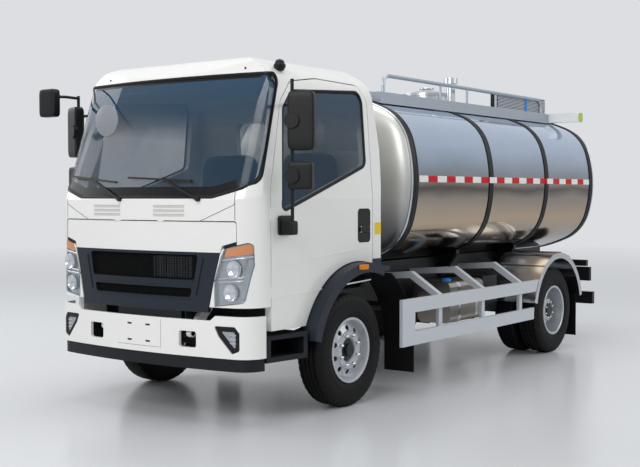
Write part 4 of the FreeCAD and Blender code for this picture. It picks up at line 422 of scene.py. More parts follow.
def pierced_ring(profile, outer, flip=False):
    """A ring of a disc with its hand holes: each sector is a grid from a hole's edge to its sides.

    The disc's depth follows a profile of (radius, x); a sector's sides are walked point by point
    and joined to the hole's edge in the same direction.
    """
    hole_turn, hole_radius, side_turn, side_radius = sector_edges(outer)
    share = np.linspace(0, 1, 5)[:, None]
    turn = hole_turn * (1 - share) + side_turn * share
    radius = hole_radius * (1 - share) + side_radius * share
    across = np.interp(radius, *np.array(profile).T)
    parts = []
    for number in range(HOLE_COUNT):
        facing = turn + 2 * np.pi / HOLE_COUNT * number
        grid = np.stack([across, radius * np.sin(facing), radius * np.cos(facing)], 2)
        parts.append(grid_part(grid, close_columns=True, flip=flip))
    return parts


def hole_walls(face, back, outer):
    """The short tubes that join a pierced ring's face to its back."""
    parts = []
    hole_turn, radius, _, _ = sector_edges(outer)
    depths = [np.interp(radius, *np.array(side).T) for side in (face, back)]
    for number in range(HOLE_COUNT):
        turn = 2 * np.pi * number / HOLE_COUNT + hole_turn
        rows = [np.stack([depth, radius * np.sin(turn), radius * np.cos(turn)], 1) for depth in depths]
        parts.append(grid_part(np.stack(rows), close_columns=True))
    return parts


def wheel_part(centre, out, rim, pad, face, back, pad_flip):
    """A pressed wheel: its rim, pad and pierced disc; out is +1 where its outer side faces +X."""
    outer = face[-1][0]
    parts = [lathe(rim, WHEEL_STEPS), lathe(pad, WHEEL_STEPS, flip=pad_flip)]
    parts += pierced_ring(face, outer, flip=True) + pierced_ring(back, outer)
    parts += hole_walls(face, back, outer)
    return moved(joined(parts), centre, (out, 1, 1))


def ring_of_nuts(centre, out, face_x, circle, size):
    """Domed nuts round a hub: each is a flat foot under a round crown."""
    profile, parts = [(across * size, radius * size) for across, radius in NUT_CROWN], []
    for number in range(NUT_COUNT):
        turn = 2 * np.pi * (number + 0.5) / NUT_COUNT
        parts.append(lathe(profile, 18, (face_x, circle * math.sin(turn), circle * math.cos(turn))))
    return moved(joined(parts), centre, (out, 1, 1))


wheel_silver = finish(
    "wheel_silver_lacquer", "#B4B7BB", 0.3, metallic=0.55, grain_mm=14, tone=0.1, uneven=0.08, bump_mm=0.05,
    Coat_Weight=0.4, Coat_Roughness=0.15)
chrome = finish("chromed_steel", "#D8DADD", 0.09, metallic=1.0, grain_mm=30, tone=0.02, uneven=0.03)
hub_black = finish("hub_black_enamel", "#0B0C0E", 0.36, metallic=0.2, grain_mm=6, tone=0.2, uneven=0.1)
for side_word, sign in SIDES:
    front, rear = f"front_wheel_{side_word}", f"rear_wheels_{side_word}"
    spot = (sign * FRONT_WHEEL_X, FRONT_AXLE_Y, WHEEL_Z)
    bulging = wheel_part(spot, sign, **BULGING_WHEEL)
    wheel = piece(f"front_rim_{side_word}_pressed", bulging, wheel_silver, front)
    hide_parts(f"front_rim_{side_word}")
    nuts = ring_of_nuts(spot, sign, **FRONT_NUTS)
    piece(f"front_nuts_{side_word}", nuts, chrome, front)
    drum = moved(lathe(DRUM, closed=True), spot, (sign, 1, 1))
    piece(f"front_brake_drum_{side_word}", drum, cast_metal, front)
    cap = moved(lathe(HUB_CAP, 48), spot, (sign, 1, 1))
    piece(f"front_hub_cap_{side_word}", cap, hub_black, front)
    spot = (sign * OUTER_WHEEL_X, REAR_AXLE_Y, WHEEL_Z)
    pair = joined([wheel_part(spot, sign, **DISHED_WHEEL),
                   wheel_part((sign * INNER_WHEEL_X, REAR_AXLE_Y, WHEEL_Z), -sign, **DISHED_WHEEL)])
    wheels = piece(f"rear_rims_{side_word}_pressed", pair, wheel_silver, rear)
    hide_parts(f"rear_rims_{side_word}")
    nuts = ring_of_nuts(spot, sign, **REAR_NUTS)
    piece(f"rear_nuts_{side_word}", nuts, chrome, rear)
    cap = moved(lathe(HUB_FLANGE, 48), spot, (sign, 1, 1))
    piece(f"rear_hub_flange_{side_word}", cap, hub_black, rear)


# Tank: rolled stainless sheet, polished, on an oval section with dished heads; four black steel
# bands hold it to its saddles. Its colour is painted up its height: painted reflections of its
# surroundings and painted shade, darker towards the bottom.
TANK_FRONT, TANK_REAR, TANK_Z, TANK_HALF, TANK_RISE = -0.945, 3.105, 1.81, 1.015, 0.8
CROWN_ARC, KNEE_ARC, FLANK_ARC, DOME = 1.7, 0.47, 1.25, 0.15
BAND_STARTS, BAND_WIDTH, BAND_THICK = (-0.945, 0.495, 1.79, 3.02), 0.085, 0.008
ARC_STEPS, BARREL_STEPS, HEAD_STEPS, HEAD_BLUNT, HEAD_FULL, HEAD_LIP = 22, 34, 22, 0.8, 2 / 3, 0.032
WANDER = 0.07
# Painted reflections and painted shade: colour stops up the barrel's height, (share, hex).
BARREL_REFLECTION_AND_SHADE = [(0.0, "#40454E"), (0.1, "#8D8A88"), (0.27, "#BFA98E"), (0.4, "#A59C92"), (0.455, "#665D57"),
                (0.49, "#857F7A"), (0.56, "#8A949E"), (0.7, "#AFBDCF"), (0.92, "#C3D4EA")]
# Painted shade and painted reflections on the heads: dark at the bottom, light at the top.
HEAD_REFLECTION_AND_SHADE = [(0.0, "#3B3F45"), (0.18, "#77797B"), (0.4, "#B5B5B2"), (0.62, "#D3D3CE"), (1.0, "#DAD9D3")]
# Sections of the heads' flanges and of a band: (y from its start, height over the sheet).
FLANGE = [(0.004, 0.0), (0.012, 0.0075), (0.022, 0.0075), (0.03, 0.0)]
BAND_SECTION = [
    (0.0, 0.0005), (0.0, 0.007), (0.004, 0.008), (0.016, 0.008), (0.02, 0.0055), (0.034, 0.0055),
    (0.038, 0.0078), (0.047, 0.0078), (0.051, 0.0055), (0.065, 0.0055), (0.069, 0.008), (0.081, 0.008),
    (BAND_WIDTH, 0.007), (BAND_WIDTH, 0.0005)]


def oval_points(grow, share):
    """The tank's section, (x, z) round its centre: crown, knee and flank arcs that meet smoothly."""
    crown, knee, flank = np.array([CROWN_ARC, KNEE_ARC, FLANK_ARC]) * share + grow
    crown_z, flank_x = TANK_RISE * share + grow - crown, TANK_HALF * share + grow - flank
    span = math.hypot(flank_x, crown_z)
    along = ((crown - knee) ** 2 - (flank - knee) ** 2 + span ** 2) / (2 * span)
    off = math.sqrt((crown - knee) ** 2 - along ** 2)
    way = np.array([flank_x, -crown_z]) / span
    centre = np.array([0, crown_z]) + along * way + off * np.array([-way[1], way[0]])
    if centre.min() < 0:
        centre = np.array([0, crown_z]) + along * way - off * np.array([-way[1], way[0]])
    first = math.atan2(centre[1] - crown_z, centre[0])
    second = math.atan2(centre[1], centre[0] - flank_x)
    arcs = []
    for middle, radius, start, end in (((0, crown_z), crown, np.pi / 2, first),
                                       (centre, knee, first, second), ((flank_x, 0), flank, second, 0.0)):
        turn = np.linspace(start, end, ARC_STEPS)
        arcs.append(np.stack([middle[0] + radius * np.cos(turn), middle[1] + radius * np.sin(turn)], 1))
    quarter = np.concatenate([arcs[0], arcs[1][1:], arcs[2][1:]])
    right = np.concatenate([quarter, (quarter * [1, -1])[-2::-1]])
    return np.concatenate([right, (right * [-1, 1])[-2:0:-1]])


def rings(stations):
    """Tank sections at (y, grow, share) stations as a grid of points."""
    rows = []
    for y, grow, share in stations:
        section = oval_points(grow, share)
        rows.append(np.stack([section[:, 0], np.full(len(section), y), TANK_Z + section[:, 1]], 1))
    return np.stack(rows)


def capped(grid):
    """A grid with its first and last rows drawn together to a point, so that its ends are shut."""
    ends = [np.broadcast_to(row.mean(axis=0), row.shape)[None] for row in (grid[0], grid[-1])]
    return np.concatenate([ends[0], grid, ends[1]])


def drum_part(stations):
    """A shut drum of tank sections at (y, share) stations."""
    grid = capped(rings([(y, 0.0, share) for y, share in stations]))
    return grid_part(grid, close_columns=True, flip=True)


def paint_reflection_and_shade(material, stops, low_z, high_z, wave_mm):
    """Paint reflections and shade up a material's height by stops of (share, hex), with slow waves along
    it.
    """
    tree = material.node_tree
    place = add_node(tree, "ShaderNodeTexCoord")
    drawn = add_node(tree, "ShaderNodeMapping", {"Vector": place.outputs["Object"]}, Scale=(0.3, 0.35, 1.0))
    reflection_wave = add_node(
        tree, "ShaderNodeTexNoise", {"Vector": drawn.outputs[0]}, Scale=1000 / wave_mm, Detail=3.0)
    apart = add_node(tree, "ShaderNodeSeparateXYZ", {"Vector": place.outputs["Object"]})
    wander = add_node(
        tree, "ShaderNodeMapRange", {"Value": reflection_wave.outputs["Fac"]}, To_Min=-WANDER, To_Max=WANDER)
    height = add_node(
        tree, "ShaderNodeMath", {0: apart.outputs["Z"], 1: wander.outputs[0]}, operation="ADD")
    share = add_node(
        tree, "ShaderNodeMapRange", {"Value": height.outputs[0]}, From_Min=low_z, From_Max=high_z)
    ramp = add_node(tree, "ShaderNodeValToRGB", {"Fac": share.outputs[0]}).color_ramp
    while len(ramp.elements) < len(stops):
        ramp.elements.new(1.0)
    for element, (position, hex_colour) in zip(ramp.elements, stops):
        element.position, element.color = position, linear(hex_colour)
    tree.links.new(
        tree.nodes["Color Ramp"].outputs["Color"], tree.nodes["Principled BSDF"].inputs["Base Color"])


TANK_LOW, TANK_HIGH = TANK_Z - TANK_RISE, TANK_Z + TANK_RISE
tank_sheet = finish(
    "rolled_stainless_sheet", "#AEB4BB", 0.12, metallic=1.0, grain_mm=420, uneven=0.04, bump_mm=2.2,
    stretch=(1, 1, 0.5))
# Painted reflections and shade: the base colour of barrel and heads is set by height.
paint_reflection_and_shade(tank_sheet, BARREL_REFLECTION_AND_SHADE, TANK_LOW, TANK_HIGH, 260)
tank_satin = finish(
    "satin_stainless_head", "#9EA6AF", 0.36, metallic=0.9, grain_mm=260, uneven=0.06, bump_mm=0.8)
paint_reflection_and_shade(tank_satin, HEAD_REFLECTION_AND_SHADE, TANK_LOW, TANK_HIGH, 300)
barrel = drum_part([(y, 1.0) for y in np.linspace(TANK_FRONT, TANK_REAR, BARREL_STEPS)])
tank_barrel = piece("tank_barrel", barrel, tank_sheet, "chassis")
dish = [(DOME * math.sin(turn) ** HEAD_BLUNT, math.cos(turn) ** HEAD_FULL)
        for turn in np.linspace(0, np.pi / 2, HEAD_STEPS)[:-1]]
heads = [drum_part([(TANK_FRONT - depth, share) for depth, share in dish[::-1]]),
         drum_part([(TANK_REAR + depth, share) for depth, share in dish])]
tank_heads = piece("tank_heads", joined(heads), tank_satin, "chassis")
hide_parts("tank")
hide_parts("tank")
rims = [rings([(start + way * y, grow, 1.0) for y, grow in FLANGE][::way])
        for start, way in ((TANK_FRONT - HEAD_LIP, 1), (TANK_REAR + HEAD_LIP, -1))]
rims = [grid_part(rim, close_rows=True, close_columns=True, flip=True) for rim in rims]
piece("tank_flanges", joined(rims), bright_steel, "chassis")

band_enamel = finish(
    "band_black_enamel", "#08090B", 0.38, grain_mm=14, tone=0.2, uneven=0.1, Specular_IOR_Level=0.3)
hoops = [rings([(start + y, grow, 1.0) for y, grow in BAND_SECTION]) for start in BAND_STARTS]
hoops = [grid_part(hoop, close_rows=True, close_columns=True, flip=True) for hoop in hoops]
tank_hoops = piece("tank_hoops", joined(hoops), band_enamel, "chassis")
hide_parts("tank_bands")


# Marking tape: red and white retro-reflective film, 58 mm wide, laid along each flank of the tank
# and over its bands in turns of 168 mm.
FILM_FACE, FILM_BACK, BAND_RAMP, TAPE_ROWS = 0.0012, 0.0002, 0.006, 6
TAPE_START, TAPE_TURN, TAPE_COUNT, TAPE_LOW, TAPE_HIGH = -0.855, 0.168, 23, 1.797, 1.855


def tape_part(start, side):
    """A length of tape: its thin section follows the flank's arc and rises over the bands."""
    along = np.linspace(start, start + TAPE_TURN, 25)
    high = np.linspace(TAPE_LOW, TAPE_HIGH, TAPE_ROWS)
    over = np.zeros(len(along), dtype=bool)
    for band in BAND_STARTS:
        over |= (along > band - BAND_RAMP) & (along < band + BAND_WIDTH + BAND_RAMP)
    grow = np.where(over, BAND_THICK, 0.0)
    heights = np.concatenate([high, high[::-1]]) - TANK_Z
    lift = np.repeat([FILM_FACE, FILM_BACK], TAPE_ROWS)
    x = TANK_HALF - FLANK_ARC + np.sqrt(FLANK_ARC ** 2 - heights ** 2)
    grid = np.stack([
        side * (x[None, :] + lift[None, :] + grow[:, None]),
        np.broadcast_to(along[:, None], (len(along), len(heights))),
        np.broadcast_to(heights + TANK_Z, (len(along), len(heights)))], 2)
    return grid_part(capped(grid), close_columns=True, flip=side > 0)


tape_white = finish("reflective_film_white", "#E4E5E3", 0.32, grain_mm=2.5, tone=0.1, bump_mm=0.05)
tape_red = finish(
    "reflective_film_red", "#C2000C", 0.4, grain_mm=2.5, tone=0.12, bump_mm=0.05, Specular_IOR_Level=0.2)
starts = TAPE_START + TAPE_TURN * np.arange(TAPE_COUNT)
for name, chosen, film, slot in (("tape_white", starts[0::2], tape_white, "silver_paint"),
                                 ("tape_red", starts[1::2], tape_red, "lamp_glass")):
    lengths = joined([tape_part(start, side) for start in chosen for side in (1, -1)])
    piece(name, lengths, film, "chassis")


# Windows: laminated safety glass with a faint blue-grey tint. The windscreen wraps round the
# corners; a black ceramic border is printed on it and a rubber strip seals it to the cab.
CAB_FRONT, BOW, CORNER, CAB_HALF, BELT, LEAN, TUMBLE = -3.285, 5.2, 0.2, 1.04, 1.65, 0.34, 0.085
EAVE_START, EAVE_BEND, GLASS_INSET = 2.482, 1.9, 0.008
EDGE_FOOT, EDGE_LOW, EDGE_SLOPE, SECTION_REACH = -3.046, 1.8, 0.36, 1.25
# The printed border: its width, how much wider its foot is and where, and its two faces' insets.
BORDER_SIDE, BORDER_FOOT, FOOT_TOP, FOOT_RISE, FOOT_HALF = 0.03, 0.046, 1.95, 0.2, 0.93
BORDER_FACE, BORDER_BACK = 0.0072, 0.008
SEAL_SECTION = [(-0.013, -0.0078), (-0.011, -0.004), (-0.004, 0.0), (0.004, 0.0022), (0.011, 0.0016),
                (0.013, -0.001), (0.004, -0.007)]
DOOR_WINDOW = [(-2.84, 1.56, 0.04), (-2.753, 2.33, 0.06), (-2.638, 2.47, 0.09), (-1.733, 2.525, 0.07),
               (-1.695, 2.44, 0.06), (-1.705, 1.925, 0.07), (-1.965, 1.84, 0.09)]


def outline_of(corners, gap=0.02, steps=7):
    """A closed outline of (a, b, radius) corners.

    Each corner is swapped for points on its arc, and no two points lie further apart than the gap.
    """
    points = []
    spots = np.array([corner[:2] for corner in corners], float)
    for number, corner in enumerate(corners):
        here, radius = spots[number], corner[2] if len(corner) > 2 else 0.0
        back, ahead = spots[number - 1] - here, spots[(number + 1) % len(spots)] - here
        back, ahead = back / np.linalg.norm(back), ahead / np.linalg.norm(ahead)
        half = math.acos(np.clip(back @ ahead, -1, 1)) / 2
        if radius == 0 or half > 1.55:
            points.append(here)
            continue
        middle = here + (back + ahead) / np.linalg.norm(back + ahead) * radius / math.sin(half)
        start = here + back * radius / math.tan(half) - middle
        end = here + ahead * radius / math.tan(half) - middle
        first = math.atan2(start[1], start[0])
        swing = (math.atan2(end[1], end[0]) - first + np.pi) % (2 * np.pi) - np.pi
        turn = first + swing * np.linspace(0, 1, steps)
        points.extend(middle + radius * np.stack([np.cos(turn), np.sin(turn)], 1))
    outline = np.array(points)
    ahead = np.roll(outline, -1, axis=0)
    counts = np.maximum(np.ceil(np.linalg.norm(ahead - outline, axis=1) / gap).astype(int), 1)
    return np.concatenate([here + (there - here) * np.arange(count)[:, None] / count
                           for here, there, count in zip(outline, ahead, counts)])


def outward(outline):
    """The outward normals of a closed outline."""
    along = np.roll(outline, -1, axis=0) - np.roll(outline, 1, axis=0)
    along = along / np.maximum(np.linalg.norm(along, axis=1), 1e-9)[:, None]
    around = outline[:, 0] * np.roll(outline[:, 1], -1) - np.roll(outline[:, 0], -1) * outline[:, 1]
    return np.stack([along[:, 1], -along[:, 0]], 1) * np.sign(around.sum())


def border(outline, place, profile, flip=False):
    """A profile of (offset, height) carried round an outline on a curved panel."""
    normals = outward(outline)
    columns = [place(*(outline + normals * offset).T, -height) for offset, height in profile]
    return grid_part(np.stack(columns, 1), close_rows=True, close_columns=True, flip=flip)


def front_section(z, inset):
    """The cab's section at a height: its stretch, bow, corner radius, the corner's centre across and in."""
    stretch = np.where(z > BELT, math.hypot(1, LEAN), 1.0)
    arc, turn_in = BOW * stretch - inset, CORNER / stretch - inset
    inner = CAB_HALF - inset - turn_in
    return stretch, arc, turn_in, inner, arc + inset - np.sqrt((arc - turn_in) ** 2 - inner ** 2)


def front_spot(x, z, inset):
    """A point on the cab's bowed front: x across, z up, inset inwards; it leans back above the belt."""
    x, z = np.asarray(x, float), np.asarray(z, float)
    stretch, arc, turn_in, inner, centre = front_section(z, inset)
    meet = inner * arc / (arc - turn_in)
    across = np.minimum(np.abs(x), inner + turn_in * 0.9999)
    depth = np.where(across < meet, arc + inset - np.sqrt(arc ** 2 - across ** 2),
                     centre - np.sqrt(np.maximum(turn_in ** 2 - (across - inner) ** 2, 0)))
    return np.stack([
        np.sign(x) * across, CAB_FRONT + depth * stretch + np.maximum(z - BELT, 0) * LEAN, z], -1)


def wrap_spot(along, z, inset):
    """A point on the cab's front by the distance along its section, so that it can round the corner."""
    along, z = np.asarray(along, float), np.asarray(z, float)
    stretch, arc, turn_in, inner, centre = front_section(z, inset)
    lean_in = np.arcsin(inner / (arc - turn_in))
    meet = arc * lean_in
    past = lean_in + (np.abs(along) - meet) / turn_in
    turned = np.minimum(past, np.pi / 2)
    on_bow = np.abs(along) < meet
    across = np.where(on_bow, arc * np.sin(np.abs(along) / arc), inner + turn_in * np.sin(turned))
    depth = np.where(on_bow, arc + inset - arc * np.cos(np.abs(along) / arc),
                     centre - turn_in * np.cos(turned) + np.maximum(past - np.pi / 2, 0) * turn_in)
    across = np.minimum(across, CAB_HALF - inset - TUMBLE * np.maximum(z - BELT, 0))
    return np.stack([
        np.sign(along) * across, CAB_FRONT + depth * stretch + np.maximum(z - BELT, 0) * LEAN, z], -1)


def along_at(z, x=None):
    """How far along the section a height's windscreen edge is, or the place at x."""
    table = np.linspace(0, SECTION_REACH, 500)
    spots = wrap_spot(table, np.full(len(table), z), GLASS_INSET)
    if x is not None:
        return float(np.interp(x, spots[:, 0], table))
    return float(np.interp(EDGE_FOOT + EDGE_SLOPE * (z - EDGE_LOW), spots[:, 1], table))


half_screen = [(along_at(1.672, 0.7), 1.672, 0.1), (along_at(1.735, 0.93), 1.735, 0.1),
               (along_at(1.79), 1.79, 0.08), (along_at(2.2), 2.2, 0.0), (along_at(2.585), 2.585, 0.09)]
screen = outline_of(half_screen + [(-a, b, r) for a, b, r in half_screen[::-1]], 0.03)
tinted_glass = bpy.data.materials.new("tinted_safety_glass")
tinted_glass.use_nodes = True
tree = tinted_glass.node_tree
surface = tree.nodes["Principled BSDF"]
surface.inputs["Roughness"].default_value = 0.02
surface.inputs["IOR"].default_value = 1.5
surface.inputs["Base Color"].default_value = linear("#23445C")
place_in = add_node(tree, "ShaderNodeTexCoord")
parted = add_node(tree, "ShaderNodeSeparateXYZ", {"Vector": place_in.outputs["Object"]})
shade = add_node(
    tree, "ShaderNodeMapRange", {"Value": parted.outputs["Z"]}, From_Min=2.18, From_Max=2.52, To_Min=0.3,
    To_Max=0.88)
smear = add_node(tree, "ShaderNodeTexNoise", {"Vector": place_in.outputs["Object"]}, Scale=2.4, Detail=3.0)
veil = add_node(tree, "ShaderNodeMapRange", {"Value": smear.outputs["Fac"]}, To_Min=-0.05, To_Max=0.05)
cover = add_node(tree, "ShaderNodeMath", {0: shade.outputs[0], 1: veil.outputs[0]}, operation="ADD")
tree.links.new(cover.outputs[0], surface.inputs["Alpha"])
coat(tinted_glass, "cab_glass", "door_glass_left", "door_glass_right")

ceramic_black = finish(
    "ceramic_border_black", "#050608", 0.3, grain_mm=40, tone=0.1, uneven=0.04, Specular_IOR_Level=0.25)
seal_rubber = finish(
    "window_seal_rubber", "#070708", 0.55, grain_mm=5, tone=0.15, uneven=0.08, Specular_IOR_Level=0.25)
foot = np.clip((FOOT_TOP - screen[:, 1]) / FOOT_RISE, 0, 1) * (np.abs(screen[:, 0]) < FOOT_HALF)
width = BORDER_SIDE + BORDER_FOOT * foot
inner_edge = screen - outward(screen) * width[:, None]
lifted = [wrap_spot(*edge.T, inset) for edge, inset in (
    (screen, BORDER_FACE), (inner_edge, BORDER_FACE), (inner_edge, BORDER_BACK), (screen, BORDER_BACK))]
piece("windscreen_border", grid_part(np.stack(lifted, 1), close_rows=True, close_columns=True, flip=True),
      ceramic_black, "cab")
piece("windscreen_seal", border(screen, wrap_spot, SEAL_SECTION), seal_rubber, "cab")


def side_spot(side):
    """The place function of a cab side: y along, z up, inset inwards, leaning in above the belt."""
    def spot(y, z, inset):
        z = np.asarray(z, float)
        over = np.maximum(z - EAVE_START, 0)
        across = CAB_HALF - inset - TUMBLE * np.maximum(z - BELT, 0) - EAVE_BEND * over ** 2
        return np.stack([side * across, np.asarray(y, float), z], -1)
    return spot


window = outline_of(DOOR_WINDOW, 0.03)
for side_word, sign in SIDES:
    strip = border(window, side_spot(sign), SEAL_SECTION, flip=sign > 0)
    piece(f"door_window_seal_{side_word}", strip, seal_rubber, f"door_{side_word}")


# Headlamps: each is a clear cover over a silvered tray that holds two chromed bowls, chromed
# bars, a grey strip at the side and an amber turn lamp at the top. All are moulded and clipped in.
HEADLAMP = [(0.721, 0.873), (0.961, 0.906, 0.04), (1.009, 1.18), (1.005, 1.349, 0.03),
            (0.8085, 1.299, 0.02), (0.779, 1.24), (0.719, 1.06)]
AMBER = [(0.8, 1.236, 0.01), (1.0, 1.262, 0.01), (0.998, 1.338, 0.02), (0.816, 1.293, 0.02)]
MIDDLE_BARS = [[(0.748, low, 0.004), (0.978, low + 0.018, 0.004), (0.98, low + 0.032, 0.004),
                (0.75, low + 0.014, 0.004)] for low in (1.046, 1.072)]
CHROME_BAR = [(0.782, 1.206, 0.006), (1.002, 1.234, 0.006), (1.001, 1.25, 0.006), (0.787, 1.222, 0.006)]
LAMP_BOWLS = ((0.878, 1.15, 0.06, 0.024), (0.85, 0.978, 0.058, 0.023))  # x, z, radius, depth
BOWL_INSET, BOWL_AIM, EDGE_GAP, BAR_BACK = 0.03, 0.1, 0.003, -0.03
OUTER_STRIP = [(0.925, 0.925, 0.01), (0.956, 0.93, 0.01), (1.002, 1.185, 0.01), (0.999, 1.228, 0.01),
               (0.972, 1.22, 0.01)]


def bowl(centre, radius, depth):
    """A reflector: a parabola turned about a line that looks ahead and a little outwards."""
    share = np.linspace(0, 1, 10)
    profile = np.concatenate([
        np.stack([depth * share ** 2, radius * share], 1),
        [[depth, radius * 1.07], [depth - 0.006, radius * 1.08], [-0.003, 0.0]]])
    points, faces = lathe(profile, 40, flip=True)
    tip = math.atan2(BOWL_AIM, 1.0)
    out, spin = points[:, 0], points[:, 1]
    turned = np.stack([
        out * math.sin(tip) + spin * math.cos(tip), -out * math.cos(tip) + spin * math.sin(tip),
        points[:, 2]], 1)
    return turned + np.array(centre), faces


def both(part):
    """A part and its mirror across the truck's middle."""
    return joined([part, moved(part, scale=(-1, 1, 1))])


lamp_housing = finish(
    "lamp_housing_silver", "#A9ADB3", 0.24, metallic=0.8, grain_mm=60, tone=0.02, uneven=0.03)
lamp_clear = finish(
    "lamp_cover_polycarbonate", "#C9D3DC", 0.05, grain_mm=30, tone=0.03, uneven=0.02, Alpha=0.1)
lamp_amber = finish(
    "turn_lamp_amber", "#DB7F00", 0.2, grain_mm=5, tone=0.12, uneven=0.05, Specular_IOR_Level=0.25)
lamp_grey = finish("lamp_strip_grey", "#9BA1A8", 0.22, metallic=0.4, grain_mm=4, tone=0.12)
lamp_edge = outline_of(HEADLAMP)
within = lamp_edge - outward(lamp_edge) * EDGE_GAP


def plate(outline, place, low, high, edge=0.002):
    """A thin closed plate on a curved panel: a softened front, sides and a back."""
    inner = outline - outward(outline) * edge
    middle = outline.mean(axis=0)
    rows = [place(*(middle + (inner - middle) * share).T, -high) for share in (0.0, 0.3, 0.65, 1.0)]
    rows += [place(*outline.T, -high + edge), place(*outline.T, -low)]
    rows += [place(*(middle + (outline - middle) * share).T, -low) for share in (0.6, 0.0)]
    return grid_part(np.stack(rows), close_columns=True, flip=True)


def tray(outline, place, rim, floor_in, wall):
    """A shallow tray set into a panel: its back, its outer wall, the rim, the inner wall, its floor."""
    inner, middle = outline - outward(outline) * wall, outline.mean(axis=0)
    rows = [place(*(middle + (outline - middle) * share).T, floor_in + wall) for share in (0.0, 0.5, 1.0)]
    rows += [place(*outline.T, rim), place(*inner.T, rim)]
    rows += [place(*(middle + (inner - middle) * share).T, floor_in) for share in (1.0, 0.66, 0.33, 0.0)]
    return grid_part(np.stack(rows), close_columns=True)


cover_plates = both(plate(within, front_spot, -0.0055, -0.0032, 0.0005))
covers = piece("headlamp_covers", cover_plates, lamp_clear, "cab")
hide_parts("cab_lamps")
housing = tray(within, front_spot, 0.0065, 0.034, 0.0015)
piece("headlamp_housings", both(housing), lamp_housing, "cab")
bowls = joined([bowl((x, front_spot(x, z, BOWL_INSET)[1], z), radius, depth)
                for x, z, radius, depth in LAMP_BOWLS])
piece("headlamp_bowls", both(bowls), chrome, "cab")
middle_bars = joined([plate(outline_of(bar), front_spot, BAR_BACK, -0.008) for bar in MIDDLE_BARS])
piece("headlamp_middle_bars", both(middle_bars), chrome, "cab")
for name, corners, film, high, slot in (
        ("turn_lamps", AMBER, lamp_amber, -0.0085, "lamp_glass"),
        ("headlamp_bars", CHROME_BAR, chrome, -0.0075, "polished_steel"),
        ("headlamp_strips", OUTER_STRIP, lamp_grey, -0.0085, "lamp_glass")):
    piece(name, both(plate(outline_of(corners), front_spot, BAR_BACK, high)), film, "cab")


# Fog lamps: a black moulded bezel in each end of the bumper holds a silvered pane with three
# chromed ribs. The roof's two marker lamps are low dark domes, moulded and screwed on.
FOG = [(0.722, 0.735, 0.01), (0.9, 0.735, 0.02), (0.935, 0.69, 0.02), (0.935, 0.56, 0.03),
       (0.875, 0.535, 0.02), (0.76, 0.66, 0.02)]
FOG_BARS = [[(0.85, low, 0.004), (0.905, low, 0.004), (0.905, low + 0.008, 0.004),
             (0.847, low + 0.008, 0.004)] for low in (0.61, 0.64, 0.67)]
FOG_RIM = [(0.0, -0.015), (0.0, -0.006), (-0.006, -0.004), (-0.034, -0.01), (-0.038, -0.015)]
FOG_RIB = [(0.0, -0.0126), (0.0, -0.01), (-0.003, -0.009), (-0.003, -0.0126)]
BUMPER_FRONT, BUMPER_CORNER, FOG_RIM_WIDE = -3.295, 0.17, 0.036
# A marker lamp, (height, radius) over its foot, and the foot's place on the roof.
ROOF_LAMP = [(-0.046, 0.0), (-0.046, 0.03), (-0.018, 0.046), (0.0, 0.046), (0.004, 0.04), (0.016, 0.037),
             (0.028, 0.031), (0.037, 0.02), (0.042, 0.001), (0.043, 0.0)]
ROOF_LAMP_X, ROOF_LAMP_Y, ROOF_LAMP_Z = 0.895, -2.68, 2.668


def bumper_spot(x, z, inset):
    """A point on the bumper's face: a bow of the cab's radius with rounded corners."""
    x = np.asarray(x, float)
    inner = CAB_HALF - BUMPER_CORNER
    centre = BOW - np.sqrt((BOW - BUMPER_CORNER) ** 2 - inner ** 2)
    meet = inner * BOW / (BOW - BUMPER_CORNER)
    across = np.minimum(np.abs(x), CAB_HALF * 0.9999)
    depth = np.where(across < meet, BOW - np.sqrt(BOW ** 2 - across ** 2),
                     centre - np.sqrt(np.maximum(BUMPER_CORNER ** 2 - (across - inner) ** 2, 0)))
    return np.stack([x, BUMPER_FRONT + depth + inset + 0 * x, np.asarray(z, float) + 0 * x], -1)


fog_edge = outline_of(FOG, 0.015)
fog_edge = fog_edge - outward(fog_edge) * EDGE_GAP
piece("fog_lamp_bezels", both(border(fog_edge, bumper_spot, FOG_RIM)), black_trim, "chassis")
fog_inner = fog_edge - outward(fog_edge) * FOG_RIM_WIDE
piece("fog_lamp_panes", both(plate(fog_inner, bumper_spot, -0.0145, -0.012, 0.0005)), lamp_housing,
      "chassis")
fog_ribs = joined([border(outline_of(bar), bumper_spot, FOG_RIB) for bar in FOG_BARS])
piece("fog_lamp_ribs", both(fog_ribs), chrome, "chassis")


def upright(profile, centre, count=48):
    """Points (height, radius) turned about an upright line."""
    points, faces = lathe(profile, count)
    return points[:, ::-1] + np.array(centre), faces[:, ::-1]


roof_lamps = [upright(ROOF_LAMP, (side * ROOF_LAMP_X, ROOF_LAMP_Y, ROOF_LAMP_Z), 40) for side in (1, -1)]
piece("roof_marker_domes", joined(roof_lamps), black_trim, "cab")


# Front panels: pressed steel in cab enamel. The panel below the windscreen has three louvres on
# each side, fine shut lines and a dark rubber gasket over each headlamp.
SEAM_LINES = ([(0.886, 1.712), (0.897, 1.64), (0.89, 1.615), (0.64, 1.512), (0.6, 1.499)],
              [(0.897, 1.626), (0.897, 1.505)])
LOUVRE_SPANS = ((-0.522, -0.204), (0.153, 0.455))
LOUVRE_ROWS, LOUVRE_TALL, LIP_RISE = (1.527, 1.559, 1.591), 0.02, 0.0245
GASKET = [(0.796, 1.292, 0.01), (1.0, 1.342, 0.02), (1.012, 1.352, 0.01), (1.005, 1.366, 0.01),
          (0.8, 1.318, 0.01)]
GASKET_BACK, GASKET_FACE = -0.022, -0.009


def oblong(left, right, low, high, radius):
    """The corners of an upright rectangle with rounded corners."""
    return [(left, low, radius), (right, low, radius), (right, high, radius), (left, high, radius)]


